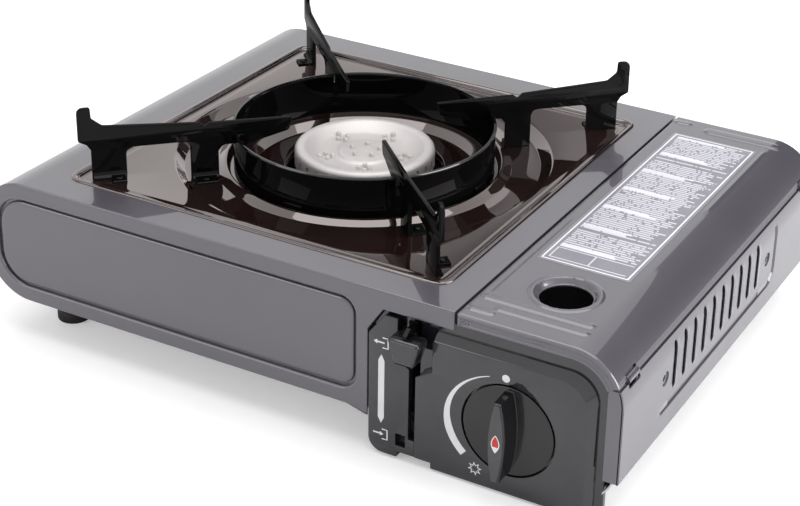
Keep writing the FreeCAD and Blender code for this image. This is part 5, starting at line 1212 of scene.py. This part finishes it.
scatter("side_screw_heads", screw_master(), [((half_x, y, z), (0.5 + n, 0, 0)) for n, (y,
    z) in enumerate(SCREWS)],
        BLACKED, "housing", ["side_screws"])
for label, sign, top in (("left_feet", -1, 22.3), ("right_feet", 1, 8.8)):
    shape = [(0, 0), (7.6, 0), (8.2, 0.25), (8.5, 0.9), (8.5, 4.3), (8.2, 4.9), (7.7, 5.3), (7.0, 6.2), (6.5,
        top), (0, top)]
    foot = lathe("foot_master", shape, (0, 0, 0), RUBBER, None, steps=40)
    spots = [((sign * (half_x - 29), y, 0), (0, 0, 0)) for y in (front_y + 28, back_y - 28)]
    scatter(label + "_moulded", foot, spots, RUBBER, "housing", [label])
print("screws and feet made")

# %% [markdown]
# ## Controls
# **Control panel.** A glossy black moulding. Its border lies 4 mm behind the wall, and a face
# and a scale strip stand up to the wall's level. The face is bevelled at its top and right
# edge only, so two outlines with the same points are lofted. The knob turns in a round
# recess, and the lever's stem runs in a slot between the face and the strip.

# %% Control panel
def make_panel():
    at = front_level
    border = rounded([
        (48.5, 1.5, 10), (64.0, 1.5, 0.4), (64.0, 4.5, 0.4), (82.0, 4.5, 0.4), (82.0, 1.5, 0.4), (166.0, 1.5,
        1.0),
        (166.0, 78.0, 17), (56.5, 78.0, 0.6), (48.5, 64.5, 1.0),
    ], 8)
    slot = box_loop(70.0, 13.0, 73.4, 74.0, 0.2, 2)
    base = loft_mesh([(inset(border, d), at(h)) for d, h in ((0, -6.5), (0, -4.3), (0.3, -4.0))], on_front,
                     [[(slot, at(h)) for h in (-6.5, -4.3, -4.0)], [(circle_loop(knob_x, knob_z, 3.5, 32),
                         at(h)) for h in (-6.5, -4.3, -4.0)]])

    def face_outline(right, top):
        return rounded([
            (82.0, 1.5, 0.5), (right, 1.5, 1.0), (right, top, 14.0), (82.0, top, 1.0), (82.0, 52.0, 0.8),
            (73.5, 47.0, 0.8), (73.5, 4.5, 0.4), (82.0, 4.5, 0.4),
        ], 8)
    low, high = face_outline(161.5, 72.0), face_outline(158.0, 68.5)
    ring = [circle_loop(knob_x, knob_z, 23.3 + grow, 96) for grow in (0, 0, 0, 0.08, 0.3)]
    heights = (-4.3, -3.1, 0.2, 0.42, 0.5)
    face = loft_mesh(list(zip((low, low, inset(high, -0.3), high, inset(high, 0.35)),
        (at(h) for h in heights))), on_front,
                     [[(loop, at(h)) for loop, h in zip(ring, heights)]])
    well = loft_mesh([(circle_loop(knob_x, knob_z, 23.1, 96), at(h)) for h in (-4.3, -3.0)], on_front,
                     [[(circle_loop(knob_x, knob_z, 3.5, 32), at(h)) for h in (-4.3, -3.0)]])
    strip = rounded([
        (48.9, 1.5, 9.6), (64.0, 1.5, 0.4), (64.0, 4.5, 0.4), (73.4, 4.5, 0.4), (73.4, 13.0, 0.3), (70.0,
        13.0, 0.3),
        (70.0, 50.0, 0.6), (64.0, 54.0, 1.0), (64.0, 74.5, 0.5), (57.5, 74.5, 0.8), (48.9, 63.5, 1.2),
    ], 8)
    pocket = box_loop(63.4, 7.8, 68.5, 14.2, 0.5, 3)
    edge = ((0, -4.3), (0, 0.1), (0.12, 0.38), (0.4, 0.5))
    scale = loft_mesh([(inset(strip, d), at(h)) for d, h in edge], on_front, [[(inset(pocket, -d),
        at(h)) for d, h in edge]])
    return merge("control_panel_moulded", [base, face, well, scale], GLOSS_BLACK, "housing",
        ["control_panel"], sharp=35)


panel = make_panel()
print("panel faces", len(panel.data.polygons))

# %% [markdown]
# **Printed marks.** White marks tell what the controls do: a double arrow for the lever's
# travel with small unlock and lock signs, and round the knob a dot for off, a band that grows
# with the flame, and a spark. They are thin prints, so each is a very thin plate.

# %% Printed marks
def stroke(points, width):
    """A thin line through points as a closed outline."""
    loop, other = [], []
    for k, p in enumerate(points):
        before, after = Vector(points[max(k - 1, 0)]), Vector(points[min(k + 1, len(points) - 1)])
        way = (after - before).normalized()
        side_way = Vector((-way.y, way.x)) * ((width[k] if isinstance(width, (list, tuple)) else width) / 2)
        loop.append(Vector(p) - side_way)
        other.append(Vector(p) + side_way)
    return loop + other[::-1]


def mark(loop):
    return stack_mesh(loop, [(0, front_level(0.45)), (0, front_level(0.53)), (0.02, front_level(0.55))],
        on_front)


def arrow(x, y, dx, dy, size):
    tip, side_way = Vector((x + dx * size, y + dy * size)), Vector((-dy, dx)) * size * 0.62
    return [tip, Vector((x, y)) + side_way, Vector((x, y)) - side_way]


def make_marks():
    sign_x = 55.7
    parts = [
        [(sign_x, 17.5), (sign_x + 1.6, 20.6), (sign_x + 1.6, 50.7), (sign_x, 53.8), (sign_x - 1.6, 50.7),
            (sign_x - 1.6, 20.6)],
    ]
    for z, way in ((60.0, -1), (11.7, 1)):
        parts.append(stroke([(sign_x + 0.6, z + 2.6), (sign_x + 3.4, z + 2.6), (sign_x + 3.4, z - 2.6),
            (sign_x + 0.6, z - 2.6)], 0.7))
        a, b = (sign_x - 2.2, sign_x + 1.6) if way < 0 else (sign_x - 4.0, sign_x - 0.4)
        parts.append(stroke([(a, z), (b, z)], 0.8))
        parts.append(arrow(a if way < 0 else b, z, way, 0, 1.9))
    parts.append(circle_loop(knob_x - 1.9, 60.8, 1.9, 28))
    way = [math.radians(109 + k * 116 / 40) for k in range(41)]
    sweep = [(knob_x + 30.6 * math.cos(a), knob_z + 26.5 * math.sin(a)) for a in way]
    parts.append(stroke(sweep, [0.4 + 3.5 * min(1.0, (k / 30)) ** 1.4 for k in range(41)]))
    star = (104.8, 9.4)
    outer = [Vector((star[0] + r * math.cos(a), star[1] + r * math.sin(a))) for r, a in
             (((3.6, 1.9)[k % 2], math.radians(k * 22.5 + 10)) for k in range(16))]
    centre = Vector(star)
    inner = [centre + (p - centre) * 0.72 for p in outer]
    meshes = [mark([Vector(p) for p in loop]) for loop in parts]
    meshes.append(loft_mesh([(outer, front_level(h)) for h in (0.45, 0.55)], on_front, [[(inner,
        front_level(h)) for h in (0.45, 0.55)]]))
    return merge("panel_print", meshes, WHITE_PRINT, "housing")


print("marks faces", len(make_marks().data.polygons))

# %% [markdown]
# **Knob.** A flat skirt lies flush in the panel, and a blade-like grip with bowed sides stands
# on it. The grip's end face has a grey satin finish and carries a lens-shaped mark, red over
# white with a light rim, that points to the setting.

# %% Knob
def lens(cx, cz, half_length, half_width, count=14, blunt=0.0):
    """A bowed outline with its ends up and down."""
    right = []
    for k in range(count + 1):
        t = -1 + 2 * k / count
        right.append(Vector((cx + blunt + (half_width - blunt) * (1 - t * t), cz + half_length * t)))
    left = [Vector((2 * cx - p.x, p.y)) for p in right[::-1]]
    return right + left if blunt else right + left[1:-1]


def make_knob():
    at = front_level
    skirt = lathe_mesh([(0, -at(-2.5)), (22.2, -at(-2.5)), (22.4, -at(-2.3)), (22.4, -at(0.25)), (22.3,
        -at(0.42)), (22.0, -at(0.5)), (0, -at(0.5))],
                       (knob_x, 0, knob_z), 128, "Y")
    skirt = (skirt[0], clean_faces(skirt[1], skirt[0]))
    grip = lens(knob_x, knob_z, 20.5, 4.5, 16, 1.9)
    blade = stack_mesh(grip, [(-0.25, at(0.2)), (-0.1, at(0.6)), (0, at(1.2)), (0.15, at(11.0)), (0.35,
        at(11.9)), (0.7, at(12.35)), (1.1, at(12.42))], on_front)
    merge("knob_moulded", [skirt, blade], KNOB_BLACK, "knob", ["control_knob"], sharp=45)
    stack("knob_end_face", inset(grip, 1.0), [(0.02, at(12.3)), (0, at(12.4)), (0.1, at(12.46)), (0.25,
        at(12.47))],
          on_front, SATIN_GREY, "knob")
    stack("mark_rim", lens(knob_x, knob_z, 4.6, 2.1), [(0, at(12.4)), (0, at(12.48)), (0.1, at(12.485))],
        on_front, WHITE_PRINT, "knob")
    whole = lens(knob_x, knob_z, 4.0, 1.6, 16)
    red = [p for p in whole if p.y > knob_z - 1.6]
    stack("mark_red", red, [(0, at(12.4)), (0, at(12.49)), (0.08, at(12.495))], on_front, RED_MARK, "knob",
        ["knob_indicator"])


make_knob()
print("knob at", round(knob_x, 1), round(knob_z, 1))

# %% [markdown]
# **Lever cap.** The thumb piece of the cartridge lever is wider at the top. Its front edges
# are chamfered and polished, so they draw thin light lines.

# %% Lever cap
cap_low, cap_high = (tuple(v / MM for v in corner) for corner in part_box("lever_cap"))
cap_mid = (cap_low[0] + cap_high[0]) / 2
cap_loop = rounded([
    (cap_mid - 4.75, cap_low[2], 0.5), (cap_mid + 4.75, cap_low[2], 0.5), (cap_mid + 8.0, cap_high[2] - 1.4,
    0.7),
    (cap_mid + 7.1, cap_high[2], 0.5), (cap_mid - 7.1, cap_high[2], 0.5), (cap_mid - 8.0, cap_high[2] - 1.4,
    0.7),
], 4)
cap_levels = [(0.4, -cap_high[1]), (0, -cap_high[1] + 0.4), (0, -cap_low[1] - 1.3), (0.12, -cap_low[1] - 1.0),
              (0.95, -cap_low[1] - 0.12), (1.2, -cap_low[1])]
stack("lever_cap_moulded", cap_loop, cap_levels, on_front, GLOSS_BLACK, "lever", ["lever_cap"])
print("cap", [round(v, 1) for v in (*cap_low, *cap_high)])

# %% Dress the solids that keep their shape
BY_SLOT = {
    "casing_paint": PAINT, "plated_steel": PLATED, "black_enamel": BLACK_ENAMEL, "brown_enamel": BROWN_ENAMEL,
    "cast_alloy": CAST_ALLOY, "brass": BRASS, "black_plastic": GLOSS_BLACK, "red_mark": RED_MARK,
    "rubber": RUBBER, "label_foil": FOIL, "ceramic": CERAMIC, "igniter_plastic": IGNITER,
        "lead_sleeve": SLEEVE,
}
for part in frame["record"]["subparts"]:
    dressed = frame["nodes"][part["node"]]
    dressed.data.materials.clear()
    painted = part["node"] in ("hinge_lugs", "lid_hinge_barrels", "hinge_pins")
    dressed.data.materials.append(PAINT if painted else BY_SLOT[part["material_slot"]])
print("dressed", len(frame["nodes"]), "solids")

# %% Import json
import json
